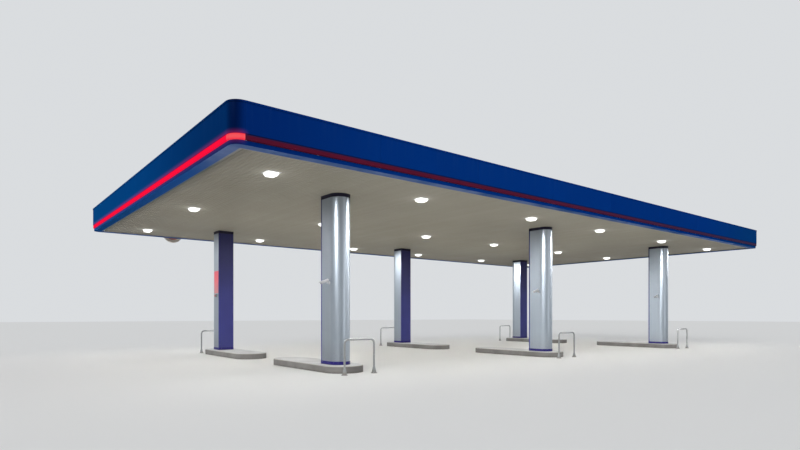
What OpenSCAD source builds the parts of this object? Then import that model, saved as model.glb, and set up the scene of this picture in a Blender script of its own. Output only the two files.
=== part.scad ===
/* [Overall size] */
// Length along X over the fascia faces, mm
length = 28500; // [27500:100:29500]
// Width along Y over the fascia faces, mm
width = 15800; // [15200:100:16400]
// Clear height under the fascia, mm
clear_h = 5250; // [4950:50:5550]
// Depth of the fascia from its lower edge to the top of the capping, mm
fascia_h = 930; // [880:10:1000]
// Plan radius of the four fascia corners, mm
corner_r = 300; // [280:10:340]

/* [Columns] */
// Spacing of the columns along X, mm
pitch_x = 9800; // [9500:50:10000]
// Spacing of the two column rows along Y, mm
pitch_y = 9500; // [9200:50:9700]
// Width of a column casing along X, mm
col_w = 620; // [600:10:660]
// Depth of a column casing along Y, mm
col_d = 860; // [840:10:900]

/* [Islands and guards] */
// Width of an island, mm
island_w = 1200; // [1150:10:1250]
// Length of an island, mm
island_l = 4500; // [4300:50:4700]
// Height of an island above the forecourt, mm
island_h = 210; // [190:5:230]
// Height of a hoop guard, mm
hoop_h = 1020; // [970:10:1070]
// Spacing of the two legs of a hoop guard, mm
hoop_w = 1000; // [960:10:1040]

/* [Light fittings] */
// Distance of the outer fittings from the short edges of the canopy, mm
lamp_edge = 1750; // [1650:10:1850]
// Distance of the other fittings from their column along X, mm
lamp_in = 2250; // [2200:10:2350]
// Distance of the outer rows of fittings from the middle row, mm
lamp_row = 6000; // [5950:10:6050]

/* [Hidden] */
$fn = 96;

hx = length / 2;
hy = width / 2;
cy = pitch_y / 2;
top_z = clear_h + fascia_h;

// sheet thickness used for all folded sheet pieces
sheet = 12;
// the three stacked parts of the fascia: lower band, light strip, upper panels
band_z = clear_h + 100;
strip_z = clear_h + 240;
panel_top = top_z - sheet;

// ceiling under the roof
soffit_z = clear_h + 30;
soffit_t = 25;
soffit_top = soffit_z + soffit_t;
edge_in = corner_r;

// main steel
beam_z = clear_h + 100;
beam_d = 400;
beam_top = beam_z + beam_d;

// roof falls from the edges and from the ridge to one gutter over each column row
fall = 0.02;
fall_deg = atan(fall);
gut_w = 400;
gut_in = cy - gut_w / 2;
gut_out = cy + gut_w / 2;
deck_up = 700;
deck_low = clear_h + deck_up;
rib_h = 34;
rib_sheet = 6;
rib_base = 110;
rib_top = 60;
rib_pitch = 300;
deck_t = rib_h + rib_sheet;
deck_edge_x = 350;
deck_edge_y = 220;
deck_x = hx - deck_edge_x;
deck_y = hy - deck_edge_y;
ridge_w = 180;
purlin_d = 160;
purlin_w = 82;
purlin_off = gut_w / 2 + 120;
purlin_edge = 750;
purlin_last = hy - purlin_edge;
purlin_ys = [0, 1500, 3000, cy - purlin_off, cy + purlin_off,
  (cy + purlin_off + purlin_last) / 2, purlin_last];
purlin_web = 3;
post_w = 60;
rafter_w = 60;
post_in = 100;
arm_z = beam_top + 140;
runner_w = 45;
runner_edge = 650;
runner_last = hy - runner_edge;
// ceiling runners: two beside the centre line, then on both sides of the column rows
runner_1 = 1200;
runner_2 = 2600;
runner_by = 750;
// ceiling planks between open grooves, counted for each bay
plank_n = 23;
groove_w = 16;
groove_d = 12;
// open joint between two ceiling bays, in the middle of a groove
bay_gap = 4;
soffit_edge = 90;

// column casing section, seen from above with the round nose towards -Y
nose_r = col_w / 2;
nose_y = -col_d / 2 + nose_r;
shell = 12;
skirt_h = 100;
collar_h = 110;
casing_lo = island_h + skirt_h;
casing_hi = soffit_z - collar_h;
trim_leg = 46;
core = 250;
plate = 25;
plate_w = 280;
base_l = 460;
head_l = 400;
// the islands reach past the column noses, and the hoops stand clear of the islands
end_gap = 470;
hoop_gap = 300;
hoop_r = 30;
hoop_bend = 120;
flange_r = 95;
flange_t = 12;
boot_r = 70;
boot_h = 190;
// four anchor holes for a dispenser on each island, round a point on the column's inner side
anchor_x = 175;
anchor_y = 350;
anchor_r = 8;
anchor_deep = 80;
anchor_in = 1200;
// rainwater pipes beside the steel posts
pipe_r = 55;
pipe_x = core / 2 + pipe_r + 20;

lamp_xs = [-hx + lamp_edge, -pitch_x + lamp_in, -lamp_in, lamp_in, pitch_x - lamp_in, hx - lamp_edge];
lamp_body = 340;
lamp_hole = lamp_body + 10;
lamp_frame = 400;
frame_t = 10;
lens_w = 290;
lens_drop = 115;
// small things on the columns, heights above the ground
camera_z = (casing_lo + casing_hi) / 2 - 100;
camera_y = -60;
camera_out = 60;
camera_tilt = 20;
camera_r = 42;
camera_l = 260;
camera_hood = 40;
camera_lift = 60;
notice_z = 2630;
notice_w = 480;
notice_h = 940;
notice_y = 370;
// round sign on the back fascia: distance from the left end, radius, height of its centre over the clear height
sign_in = 3270;
sign_r = 440;
sign_up = 240;

blue = [0.02, 0.10, 0.36];
navy = [0.02, 0.03, 0.09];
silver = [0.72, 0.74, 0.76];
violet = [0.12, 0.10, 0.42];
steel = [0.45, 0.46, 0.47];
zinc = [0.68, 0.70, 0.71];
cream = [0.80, 0.78, 0.72];
concrete = [0.55, 0.53, 0.50];
red_lit = [1.0, 0.05, 0.15];
red_off = [0.30, 0.04, 0.07];
white = [0.92, 0.93, 0.93];

// height of the deck underside at a distance y from the centre line
function deck_under(y) = abs(y) > cy
  ? deck_low + fall * (abs(y) - gut_out)
  : deck_low + fall * (gut_in - abs(y));
function purlin_top(y) = deck_under(y) - fall * purlin_w / 2;
// the gutters stand on bearers that reach up to the purlins on both sides of them
function gutter_z() = purlin_top(cy - purlin_off) - purlin_d;

// polygon x runs along Y, polygon y along Z, the length along X
module along_x(len, pts) {
  rotate([90, 0, 90]) linear_extrude(height = len, center = true) polygon(pts);
}

// polygon x runs along X, polygon y along Z, the length along Y
module along_y(len, pts) {
  rotate([90, 0, 0]) linear_extrude(height = len, center = true) polygon(pts);
}

// one straight run of an edge profile on the +Y side: u is measured outwards from the face
module run(len, face, pts) {
  translate([0, face, 0]) along_x(len, pts);
}

module run_front(pts, gap) { rotate([0, 0, 180]) run(length - 2 * corner_r - 2 * gap, hy, pts); }
module run_back(pts, gap) { run(length - 2 * corner_r - 2 * gap, hy, pts); }
module run_left(pts, gap) { rotate([0, 0, 90]) run(width - 2 * corner_r - 2 * gap, hx, pts); }
module run_right(pts, gap) { rotate([0, 0, -90]) run(width - 2 * corner_r - 2 * gap, hx, pts); }

// the same profile turned round one corner
module corner(sx, sy, turn, pts) {
  translate([sx * (hx - corner_r), sy * (hy - corner_r), 0]) rotate([0, 0, turn])
    rotate_extrude(angle = 90) polygon([for (p = pts) [corner_r + p[0], p[1]]]);
}
module corners_left(pts) {
  corner(-1, 1, 90, pts);
  corner(-1, -1, 180, pts);
}
module corners_right(pts) {
  corner(1, 1, 0, pts);
  corner(1, -1, 270, pts);
}

// straight panels of a side with open joints between them
module panels(side_len, face, count, pts) {
  w = (side_len - 2 * corner_r) / count;
  for (i = [0 : count - 1])
    translate([-side_len / 2 + corner_r + (i + 0.5) * w, 0, 0]) run(w - 5, face, pts);
}

// every column position; the casing nose always points outwards
module at_columns() {
  for (x = [-pitch_x, 0, pitch_x]) {
    translate([x, -cy, 0]) children();
    translate([x, cy, 0]) rotate([0, 0, 180]) children();
  }
}

// local frames of the four roof slopes: y runs up the slope, z square to it
module on_slopes_out() {
  translate([0, gut_out, deck_low]) rotate([fall_deg, 0, 0]) children();
  mirror([0, 1, 0]) translate([0, gut_out, deck_low]) rotate([fall_deg, 0, 0]) children();
}
module on_slopes_in() {
  translate([0, gut_in, deck_low]) mirror([0, 1, 0]) rotate([fall_deg, 0, 0]) children();
  mirror([0, 1, 0]) translate([0, gut_in, deck_low]) mirror([0, 1, 0])
    rotate([fall_deg, 0, 0]) children();
}
slope_out_l = (deck_y - gut_out) / cos(fall_deg);
slope_in_l = gut_in / cos(fall_deg);

// a band following the casing section, t thick outside the shell line
module casing_band(z0, z1, out) {
  r1 = nose_r + out;
  r0 = nose_r - shell;
  translate([0, nose_y, 0]) rotate([0, 0, 180]) rotate_extrude(angle = 180)
    polygon([[r0, z0], [r1, z0], [r1, z1], [r0, z1]]);
  for (s = [-1, 1])
    translate([s > 0 ? r0 : -r1, nose_y, z0]) cube([r1 - r0, col_d / 2 - shell - nose_y, z1 - z0]);
  translate([-r1, col_d / 2 - shell, z0]) cube([2 * r1, shell + out, z1 - z0]);
}

// concrete islands with half-round ends, a worn chamfer and anchor holes for a dispenser
worn = 15;
module island_profile_end() {
  r = island_w / 2;
  rotate([0, 0, 180]) rotate_extrude(angle = 180)
    polygon([[0, 0], [r, 0], [r, island_h - worn], [r - worn, island_h], [0, island_h]]);
}
module islands() {
  r = island_w / 2;
  straight = island_l - 2 * r;
  color(concrete) at_columns()
    difference() {
      translate([0, r - col_d / 2 - end_gap, 0]) {
        island_profile_end();
        translate([0, straight / 2, 0])
          along_y(straight, [[-r, 0], [r, 0], [r, island_h - worn], [r - worn, island_h],
            [-r + worn, island_h], [-r, island_h - worn]]);
        translate([0, straight, 0]) rotate([0, 0, 180]) island_profile_end();
      }
      for (x = [-anchor_x, anchor_x], y = [-anchor_y, anchor_y])
        translate([x, anchor_in + y, island_h - anchor_deep]) cylinder(h = anchor_deep + 20, r = anchor_r);
    }
}

// one hoop: two legs, two bends, a top bar, and floor flanges with cone boots
module hoop() {
  r = hoop_r;
  bend = hoop_bend;
  reach = hoop_w / 2;
  for (s = [0, 180]) rotate([0, 0, s]) {
    translate([reach, 0, 0]) cylinder(h = hoop_h - r - bend, r = r);
    translate([reach, 0, 0]) cylinder(h = flange_t, r = flange_r);
    translate([reach, 0, flange_t]) cylinder(h = boot_h, r1 = boot_r, r2 = r);
    translate([reach - bend, 0, hoop_h - r - bend]) rotate([90, 0, 0])
      rotate_extrude(angle = 90) translate([bend, 0]) circle(r = r);
  }
  translate([-(reach - bend), 0, hoop_h - r]) rotate([0, 90, 0]) cylinder(h = 2 * (reach - bend), r = r);
}
module hoop_guards() {
  color(zinc) at_columns() translate([0, -col_d / 2 - end_gap - hoop_gap, 0]) hoop();
}

// steel posts inside the casings, each with its base plate and head plate
module column_cores() {
  color(steel) at_columns() {
    difference() {
      translate([-core / 2, -core / 2, island_h + plate]) cube([core, core, beam_z - 2 * plate - island_h]);
      translate([-core / 2 + 10, -core / 2 + 10, island_h + plate]) cube([core - 20, core - 20, beam_z - 2 * plate - island_h]);
    }
    translate([-plate_w / 2, -base_l / 2, island_h]) cube([plate_w, base_l, plate]);
    translate([-plate_w / 2, -head_l / 2, beam_z - plate]) cube([plate_w, head_l, plate]);
  }
}

// short bars that hold the casing off the steel post
module casing_bars() {
  inner = nose_r - shell;
  rows = 5;
  z0 = casing_lo + 150;
  dz = (casing_hi - 80 - z0) / (rows - 1);
  color(steel) at_columns() for (i = [0 : rows - 1]) {
    z = z0 + i * dz;
    for (s = [-1, 1])
      translate([s > 0 ? core / 2 : -inner, pipe_r + 15, z]) cube([inner - core / 2, 40, 40]);
    translate([-20, core / 2, z]) cube([40, col_d / 2 - shell - core / 2, 40]);
  }
}

// silver sides and round nose
module column_casings() {
  h = casing_hi - casing_lo;
  side = col_d / 2 - trim_leg - nose_y;
  color(silver) at_columns() {
    translate([0, nose_y, 0]) rotate([0, 0, 180]) rotate_extrude(angle = 180)
      polygon([[nose_r - shell, casing_lo], [nose_r, casing_lo], [nose_r, casing_hi], [nose_r - shell, casing_hi]]);
    for (s = [-1, 1])
      translate([s > 0 ? nose_r - shell : -nose_r, nose_y, casing_lo]) cube([shell, side, h]);
  }
}

// flat panels that face the other row
module column_panels() {
  w = col_w - 2 * trim_leg;
  color(violet) at_columns()
    translate([-w / 2, col_d / 2 - shell, casing_lo]) cube([w, shell, casing_hi - casing_lo]);
}

// corner trims between the silver sides and the flat panel
module column_trims() {
  h = casing_hi - casing_lo;
  color(violet) at_columns() for (s = [0, 1]) mirror([s, 0, 0])
    translate([0, 0, casing_lo]) linear_extrude(height = h)
      polygon([[nose_r + 4, col_d / 2 + 4], [nose_r - trim_leg, col_d / 2 + 4],
        [nose_r - trim_leg, col_d / 2 - shell], [nose_r - shell, col_d / 2 - shell],
        [nose_r - shell, col_d / 2 - trim_leg], [nose_r + 4, col_d / 2 - trim_leg]]);
}

module column_collars() {
  color(navy) at_columns() casing_band(casing_hi, soffit_z, 6);
}

module column_skirts() {
  color(violet) at_columns() casing_band(island_h, casing_lo, 8);
}

// rainwater pipes beside the steel posts, from the gutters to the islands
module downpipes() {
  z1 = gutter_z();
  color(zinc) for (x = [-pitch_x, 0, pitch_x], y = [-cy, cy])
    translate([x + pipe_x, y, island_h]) difference() {
      cylinder(h = z1 - island_h, r = pipe_r);
      cylinder(h = z1 - island_h, r = pipe_r - 5);
    }
}

// three main beams across the canopy, one over each pair of columns
module girders() {
  w = 90;
  t = 16;
  web = 6;
  l = 2 * (purlin_last + 50);
  color(steel) for (x = [-pitch_x, 0, pitch_x]) translate([x, 0, beam_z]) {
    along_y(l, [[-w, 0], [w, 0], [w, t], [web, t], [web, beam_d - t], [w, beam_d - t], [w, beam_d],
      [-w, beam_d], [-w, beam_d - t], [-web, beam_d - t], [-web, t], [-w, t]]);
    for (y = [-l / 2, -cy - 100, -cy + 84, cy - 100, cy + 84, l / 2 - t], s = [-1, 1])
      translate([s > 0 ? web : -w, y, t]) cube([w - web, t, beam_d - 2 * t]);
  }
}

// seats that set each purlin at its height, and bearers under the gutters
module purlin_cleats() {
  color(steel) {
    for (x = [-pitch_x, 0, pitch_x], y = purlin_ys, s = [-1, 1])
      if (abs(y - cy) > purlin_off + 1 && (y > 0 || s > 0))
        translate([x - 60, s * y - purlin_w / 2, beam_top])
          cube([120, purlin_w, purlin_top(y) - purlin_d - beam_top]);
    n = floor((deck_x - 200) / (pitch_x / 5));
    last = deck_x - rafter_w / 2;
    for (x = concat([-last, last], [for (i = [-n : n]) i * pitch_x / 5]), s = [-1, 1])
      translate([x - rafter_w / 2, s * cy - purlin_off - purlin_w / 2, beam_top])
        cube([rafter_w, 2 * purlin_off + purlin_w, gutter_z() - beam_top]);
  }
}

module purlins() {
  w = purlin_w / 2;
  t = 8;
  web = purlin_web;
  l = 2 * (deck_x - rafter_w);
  color(zinc) for (y = purlin_ys, s = [-1, 1]) if (y > 0 || s > 0)
    translate([0, s * y, purlin_top(y) - purlin_d])
      along_x(l, [[-w, 0], [w, 0], [w, t], [web, t], [web, purlin_d - t], [w, purlin_d - t], [w, purlin_d],
        [-w, purlin_d], [-w, purlin_d - t], [-web, purlin_d - t], [-web, t], [-w, t]]);
}

// rafters that close the purlin ends; they stand on bearers, with a notch for the gutter's edge
module end_rafters() {
  z = gutter_z();
  lip = deck_low - 10;
  seat = purlin_off - gut_w / 2 - purlin_w / 2;
  inner = [[0, deck_under(0) - purlin_d], [0, deck_under(0)], [gut_in - 45, deck_under(gut_in - 45)],
    [gut_in - 45, lip], [gut_in - 5, lip], [gut_in - 5, z], [gut_in - seat, z]];
  outer = [[gut_out + 5, z], [gut_out + 5, lip], [gut_out + 45, lip],
    [gut_out + 45, deck_under(gut_out + 45)], [deck_y, deck_under(deck_y)],
    [deck_y, deck_under(deck_y) - purlin_d], [gut_out + seat, z]];
  n = len(inner) - 1;
  both = concat([for (i = [1 : n]) inner[i]], [inner[0]],
    [for (i = [n : -1 : 2]) [-inner[i][0], inner[i][1]]]);
  color(steel) for (s = [-1, 1]) translate([s * (deck_x - rafter_w / 2), 0, 0]) {
    along_x(rafter_w, both);
    for (m = [0, 1]) mirror([0, m, 0]) along_x(rafter_w, outer);
  }
}

// posts and arms that carry the fascia off the purlins and end rafters
// from: where the upper arm starts, low: where the lower arm starts, out: the posts' inner face
module frame_arms(from, low, out) {
  p = post_w / 2;
  hang = max(from, low) + 40;
  translate([-p, out, band_z]) cube([post_w, post_w, panel_top - band_z]);
  translate([-p, from, arm_z]) cube([post_w, out - from, post_w]);
  translate([-p, low, band_z]) cube([post_w, out - low, 40]);
  translate([-25, hang, band_z + 40]) cube([50, 50, arm_z - band_z - 40]);
}
module frame_long() {
  frame_arms(purlin_last + purlin_web, runner_last - runner_w / 2, hy - post_in);
}
module frame_short() {
  rotate([0, 0, -90]) frame_arms(deck_x, deck_x - 100, hx - post_in);
}
module fascia_frames() {
  nx = 16;
  ny = 8;
  color(zinc) {
    // the end frames are fixed to the outer faces of the end rafters
    for (i = [0 : nx], s = [0, 180]) rotate([0, 0, s]) {
      x = -hx + corner_r + i * (length - 2 * corner_r) / nx;
      lim = deck_x + post_w / 2;
      translate([max(-lim, min(lim, x)), 0, 0]) frame_long();
    }
    for (i = [0 : ny], s = [0, 180]) rotate([0, 0, s])
      translate([0, -hy + corner_r + i * (width - 2 * corner_r) / ny, 0]) frame_short();
  }
}

// box gutters over the two column rows: a tray with turned-up edges and an outlet at every column
gut_turn = 25;
gut_sheet = 6;
module gutters() {
  w = gut_w / 2;
  t = gut_sheet;
  color(zinc) for (s = [-1, 1]) translate([0, s * cy, gutter_z()]) difference() {
    along_x(2 * deck_x, [[-w, 0], [w, 0], [w, gut_turn], [w - t, gut_turn], [w - t, t],
      [-w + t, t], [-w + t, gut_turn], [-w, gut_turn]]);
    for (x = [-pitch_x, 0, pitch_x]) translate([x + pipe_x, 0, -5]) cylinder(h = 20, r = pipe_r - 5);
  }
}

// sheets that line the gutter sides: from inside the tray's edges up under the roof sheets
module gutter_linings() {
  z0 = gutter_z() + gut_sheet;
  w = gut_w / 2;
  t = gut_sheet;
  color(zinc) for (s = [-1, 1]) translate([0, s * cy, 0]) for (m = [0, 1]) mirror([0, m, 0])
    along_x(2 * deck_x, [[w - 2 * t, z0], [w - t, z0], [w - t, deck_low - t], [w + 40, deck_low - t],
      [w + 40, deck_low], [w - 2 * t, deck_low]]);
}

// stop ends of the gutters
module gutter_ends() {
  color(zinc) for (s = [-1, 1], x = [-deck_x - gut_sheet, deck_x])
    translate([x, s * cy - gut_w / 2, gutter_z()]) cube([gut_sheet, gut_w, deck_low - gutter_z()]);
}

// ribbed sheets: one folded profile of even thickness, with whole ribs across the roof
rib_n = floor(2 * deck_x / rib_pitch);
rib_p = 2 * deck_x / rib_n;
module ribbed_sheet(l) {
  b = rib_base / 2;
  t = rib_top / 2;
  k = rib_sheet * 0.6;
  upper = [for (i = [0 : rib_n - 1], q = [[-b, rib_sheet], [-t, deck_t], [t, deck_t], [b, rib_sheet]])
    [-deck_x + (i + 0.5) * rib_p + q[0], q[1]]];
  lower = [for (i = [rib_n - 1 : -1 : 0], q = [[b - k, 0], [t - k, rib_h], [k - t, rib_h], [k - b, 0]])
    [-deck_x + (i + 0.5) * rib_p + q[0], q[1]]];
  translate([0, l, 0]) rotate([90, 0, 0]) linear_extrude(height = l)
    polygon(concat([[-deck_x, 0], [-deck_x, rib_sheet]], upper, [[deck_x, rib_sheet], [deck_x, 0]], lower));
}
module roof_deck() {
  color(zinc) {
    on_slopes_out() ribbed_sheet(slope_out_l);
    on_slopes_in() ribbed_sheet(slope_in_l - 2);
  }
}

ridge_t = 10;
module ridge_cap() {
  color(zinc) on_slopes_in()
    translate([-deck_x, slope_in_l - ridge_w, deck_t]) cube([2 * deck_x, ridge_w, ridge_t]);
}

// inner lining of the parapet and the flashing from it to the deck
module roof_flashing() {
  z0 = deck_under(deck_y) + deck_t;
  lining = [[-post_in, z0], [-post_in, panel_top], [-post_in - sheet, panel_top], [-post_in - sheet, z0]];
  low = [[-post_in, deck_low + 30], [-post_in, panel_top], [-post_in - sheet, panel_top],
    [-post_in - sheet, deck_low + 30]];
  foot = [[-post_in, z0], [-post_in, panel_top], [-post_in - sheet, panel_top],
    [-post_in - sheet, z0 + sheet], [-300, z0 + sheet], [-300, z0]];
  color(zinc) {
    run_front(foot, 1);
    run_back(foot, 1);
    run_left(low, 1);
    run_right(low, 1);
    corners_left(lining);
    corners_right(lining);
    // verge flashings cover the first and last rib
    lap = rib_p / 2 + rib_top / 2;
    for (s = [-1, 1]) {
      x = s > 0 ? deck_x - lap : -hx + post_in + sheet;
      l = hx - post_in - sheet - deck_x + lap;
      on_slopes_out() translate([x, 2, deck_t]) cube([l, slope_out_l - 90, sheet]);
      on_slopes_in() translate([x, 2, deck_t]) cube([l, slope_in_l - ridge_w - 10, sheet]);
      for (r = [-1, 1])
        translate([s > 0 ? deck_x + 8 : -hx + post_in + sheet, r * cy - gut_w / 2, deck_low + deck_t])
          cube([l - lap - 8, gut_w, sheet]);
    }
  }
}

// folded capping over the top of the fascia, with a drip leg outside and a leg inside
cap_w = 180;
cap_drip = 30;
cap_leg = 90;
module capping() {
  pts = [[sheet, panel_top - cap_drip], [sheet, top_z], [-cap_w, top_z], [-cap_w, panel_top - cap_leg],
    [-cap_w + sheet, panel_top - cap_leg], [-cap_w + sheet, panel_top], [0, panel_top],
    [0, panel_top - cap_drip]];
  color(blue) {
    run_front(pts, 2);
    run_back(pts, 2);
    run_left(pts, 2);
    run_right(pts, 2);
    corners_left(pts);
    corners_right(pts);
  }
}

// upper fascia: flanged panels with open joints
panel_pts = [[0, strip_z], [0, panel_top], [-40, panel_top], [-40, panel_top - sheet],
  [-sheet, panel_top - sheet], [-sheet, strip_z + sheet], [-40, strip_z + sheet], [-40, strip_z]];
module fascia_front() { color(blue) rotate([0, 0, 180]) panels(length, hy, 8, panel_pts); }
module fascia_back() { color(blue) panels(length, hy, 8, panel_pts); }
module fascia_left() { color(blue) rotate([0, 0, 90]) panels(width, hx, 4, panel_pts); }
module fascia_right() { color(blue) rotate([0, 0, -90]) panels(width, hx, 4, panel_pts); }
module fascia_corners() {
  color(blue) {
    corners_left(panel_pts);
    corners_right(panel_pts);
  }
}

// light strip set just behind the panel face, in lengths with open joints
strips_long = 9;
strips_short = 5;
strip_pts = [[-5, band_z + 20], [-5, strip_z - 20], [-13, strip_z - 8], [-25, strip_z - 4], [-40, strip_z - 4],
  [-40, band_z + 4], [-25, band_z + 4], [-13, band_z + 8]];
module light_strip_front() { color(red_off) rotate([0, 0, 180]) panels(length, hy, strips_long, strip_pts); }
module light_strip_back() { color(red_off) panels(length, hy, strips_long, strip_pts); }
module light_strip_left() { color(red_lit) rotate([0, 0, 90]) panels(width, hx, strips_short, strip_pts); }
module light_strip_right() { color(red_off) rotate([0, 0, -90]) panels(width, hx, strips_short, strip_pts); }
module light_corners_left() { color(red_lit) corners_left(strip_pts); }
module light_corners_right() { color(red_off) corners_right(strip_pts); }

// lower band, its underside and the lip that carries the ceiling edge
module lower_band() {
  pts = [[-40, clear_h], [-40, band_z], [-100, band_z], [-100, band_z - sheet], [-40 - sheet, band_z - sheet],
    [-40 - sheet, clear_h + sheet], [-edge_in + sheet, clear_h + sheet], [-edge_in + sheet, band_z],
    [-edge_in, band_z], [-edge_in, clear_h]];
  bend = [[-40, clear_h], [-40, band_z], [-100, band_z], [-100, band_z - sheet], [-40 - sheet, band_z - sheet],
    [-40 - sheet, clear_h + sheet], [-corner_r, clear_h + sheet], [-corner_r, clear_h]];
  color(blue) {
    run_front(pts, 2);
    run_back(pts, 2);
    run_left(pts, 2);
    run_right(pts, 2);
    corners_left(bend);
    corners_right(bend);
  }
}

// ceiling bays of planks that run across the canopy, cut out for the fittings and the columns
module soffit_panels() {
  n = 12;
  sx = 2 * (hx - edge_in - 20);
  sy = 2 * (hy - edge_in - 20);
  w = sx / n;
  pw = w / plank_n;
  g = groove_w / 2;
  e = (w - bay_gap) / 2;
  lower = [for (i = [1 : plank_n - 1], q = [[-g, 0], [-g, groove_d], [g, groove_d], [g, 0]])
    [-w / 2 + i * pw + q[0], soffit_z + q[1]]];
  bay = concat([[-e, soffit_top], [-e, soffit_z + groove_d], [g - w / 2, soffit_z + groove_d], [g - w / 2, soffit_z]],
    lower, [[w / 2 - g, soffit_z], [w / 2 - g, soffit_z + groove_d], [e, soffit_z + groove_d], [e, soffit_top]]);
  color(cream) difference() {
    for (i = [0 : n - 1]) translate([-sx / 2 + (i + 0.5) * w, 0, 0]) along_y(sy, bay);
    for (x = lamp_xs, y = [-lamp_row, 0, lamp_row])
      translate([x - lamp_hole / 2, y - lamp_hole / 2, soffit_z - 5]) cube([lamp_hole, lamp_hole, soffit_t + 10]);
    at_columns() translate([0, 0, soffit_z - 5]) {
      translate([0, nose_y, 0]) cylinder(h = soffit_t + 10, r = nose_r - 30);
      translate([-nose_r + 30, nose_y, 0])
        cube([2 * (nose_r - 30), col_d / 2 - 30 - nose_y, soffit_t + 10]);
    }
  }
}

module soffit_trim() {
  o = edge_in;
  w = soffit_edge;
  t = (soffit_z - clear_h) / 2;
  color(cream) {
    for (s = [0, 180]) rotate([0, 0, s])
      translate([-hx + o, hy - o - w, soffit_z - t]) cube([2 * (hx - o), w, t]);
    for (s = [0, 180]) rotate([0, 0, s])
      translate([hx - o - w, -hy + o + w + 2, soffit_z - t]) cube([w, 2 * (hy - o - w) - 4, t]);
  }
}

module soffit_runners() {
  l = 2 * (hx - edge_in);
  ys = [runner_1, runner_2, cy - runner_by, cy + runner_by, lamp_row + lamp_frame / 2 + 270, runner_last];
  color(zinc) for (y = ys, s = [-1, 1])
    translate([-l / 2, s * y - runner_w / 2, soffit_top]) cube([l, runner_w, beam_z - soffit_top]);
}

// recessed fittings: sealed box above the ceiling, frame below it
module lamp_housings() {
  b = lamp_body / 2;
  color(white) for (x = lamp_xs, y = [-lamp_row, 0, lamp_row]) translate([x, y, soffit_z]) {
    translate([-b, -b, 0]) cube([2 * b, 2 * b, 130]);
    difference() {
      translate([-lamp_frame / 2, -lamp_frame / 2, -frame_t]) cube([lamp_frame, lamp_frame, frame_t]);
      translate([-lens_w / 2 - 1, -lens_w / 2 - 1, -frame_t - 5]) cube([lens_w + 2, lens_w + 2, frame_t + 5]);
    }
  }
}

// bowed drop lenses, let into the frames
module lamp_lenses() {
  bow = lens_drop - frame_t;
  half = [for (a = [0 : 15 : 90]) [lens_w / 2 * pow(cos(a), 0.6), -frame_t - bow * sin(a)]];
  side = concat([[lens_w / 2, 0]], half, [for (i = [5 : -1 : 0]) [-half[i][0], half[i][1]]], [[-lens_w / 2, 0]]);
  color(white) for (x = lamp_xs, y = [-lamp_row, 0, lamp_row]) translate([x, y, soffit_z])
    intersection() {
      along_x(lens_w, side);
      along_y(lens_w, side);
    }
}

// a small camera on the left flat side of each front column, tilted down away from the column
module at_cameras() {
  for (x = [-pitch_x, 0, pitch_x]) translate([x - nose_r, -cy + camera_y, camera_z]) children();
}
module camera_brackets() {
  color(white) at_cameras() rotate([0, -90, 0]) {
    cylinder(h = 14, r = 45);
    cylinder(h = camera_out, r = 15);
  }
}
// a block on the bracket's end, the round body with its recessed front, and a sun hood over it
module camera_bodies() {
  block = [32, 36, 46];
  color(white) at_cameras() translate([-camera_out, 0, 0]) {
    translate([-block[0], -block[1] / 2, -20]) cube(block);
    translate([-block[0] / 2, 0, 0]) rotate([0, -90 - camera_tilt, 0]) translate([camera_lift, 0, -50]) {
      difference() {
        cylinder(h = camera_l, r = camera_r);
        translate([0, 0, camera_l - 8]) cylinder(h = 10, r = camera_r - 10);
      }
      rotate([0, 0, -80]) rotate_extrude(angle = 160)
        polygon([[camera_r - 2, 0], [camera_r + 6, 0], [camera_r + 6, camera_l + camera_hood],
          [camera_r + 2, camera_l + camera_hood], [camera_r + 2, camera_l], [camera_r - 2, camera_l]]);
    }
  }
}

// blank round sign on the back fascia, hanging a little below its lower edge
module round_sign() {
  x = -hx + sign_in;
  z = clear_h + sign_up;
  color(white) {
    translate([x, hy + sheet, z]) rotate([90, 0, 0]) cylinder(h = sheet, r = sign_r);
    difference() {
      translate([x, hy, z]) rotate([90, 0, 0]) cylinder(h = 40, r = sign_r);
      translate([x - sign_r - 10, hy - 60, clear_h - 6]) cube([2 * sign_r + 20, 80, 2 * sign_r]);
    }
  }
}

// plain red plate on the left flat side of the back left column
module notice_plate() {
  color(red_lit) translate([-pitch_x - nose_r - 6, cy - notice_y, notice_z]) cube([6, notice_w, notice_h]);
}

islands();
hoop_guards();
column_cores();
casing_bars();
column_casings();
column_panels();
column_trims();
column_collars();
column_skirts();
downpipes();
girders();
purlin_cleats();
purlins();
end_rafters();
fascia_frames();
gutters();
gutter_linings();
gutter_ends();
roof_deck();
ridge_cap();
roof_flashing();
capping();
fascia_front();
fascia_back();
fascia_left();
fascia_right();
fascia_corners();
light_strip_front();
light_strip_back();
light_strip_left();
light_strip_right();
light_corners_left();
light_corners_right();
lower_band();
soffit_panels();
soffit_trim();
soffit_runners();
lamp_housings();
lamp_lenses();
camera_brackets();
camera_bodies();
round_sign();
notice_plate();
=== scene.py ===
# %% [markdown]
# # A filling station canopy, dressed for its picture
# The steel, sheets, columns and light fittings come ready made from the CAD model. In this lesson they
# get their paint, metal, concrete and light, and the small fixings that are too fine for the CAD model.
# The first step loads the model as a fixed frame. Everything is in metres: X runs along the canopy,
# Y across it, and Z is up from the forecourt.

# %% Load the frame
import math
from types import SimpleNamespace
import bpy
import bmesh
from mathutils import Matrix, Vector


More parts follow.
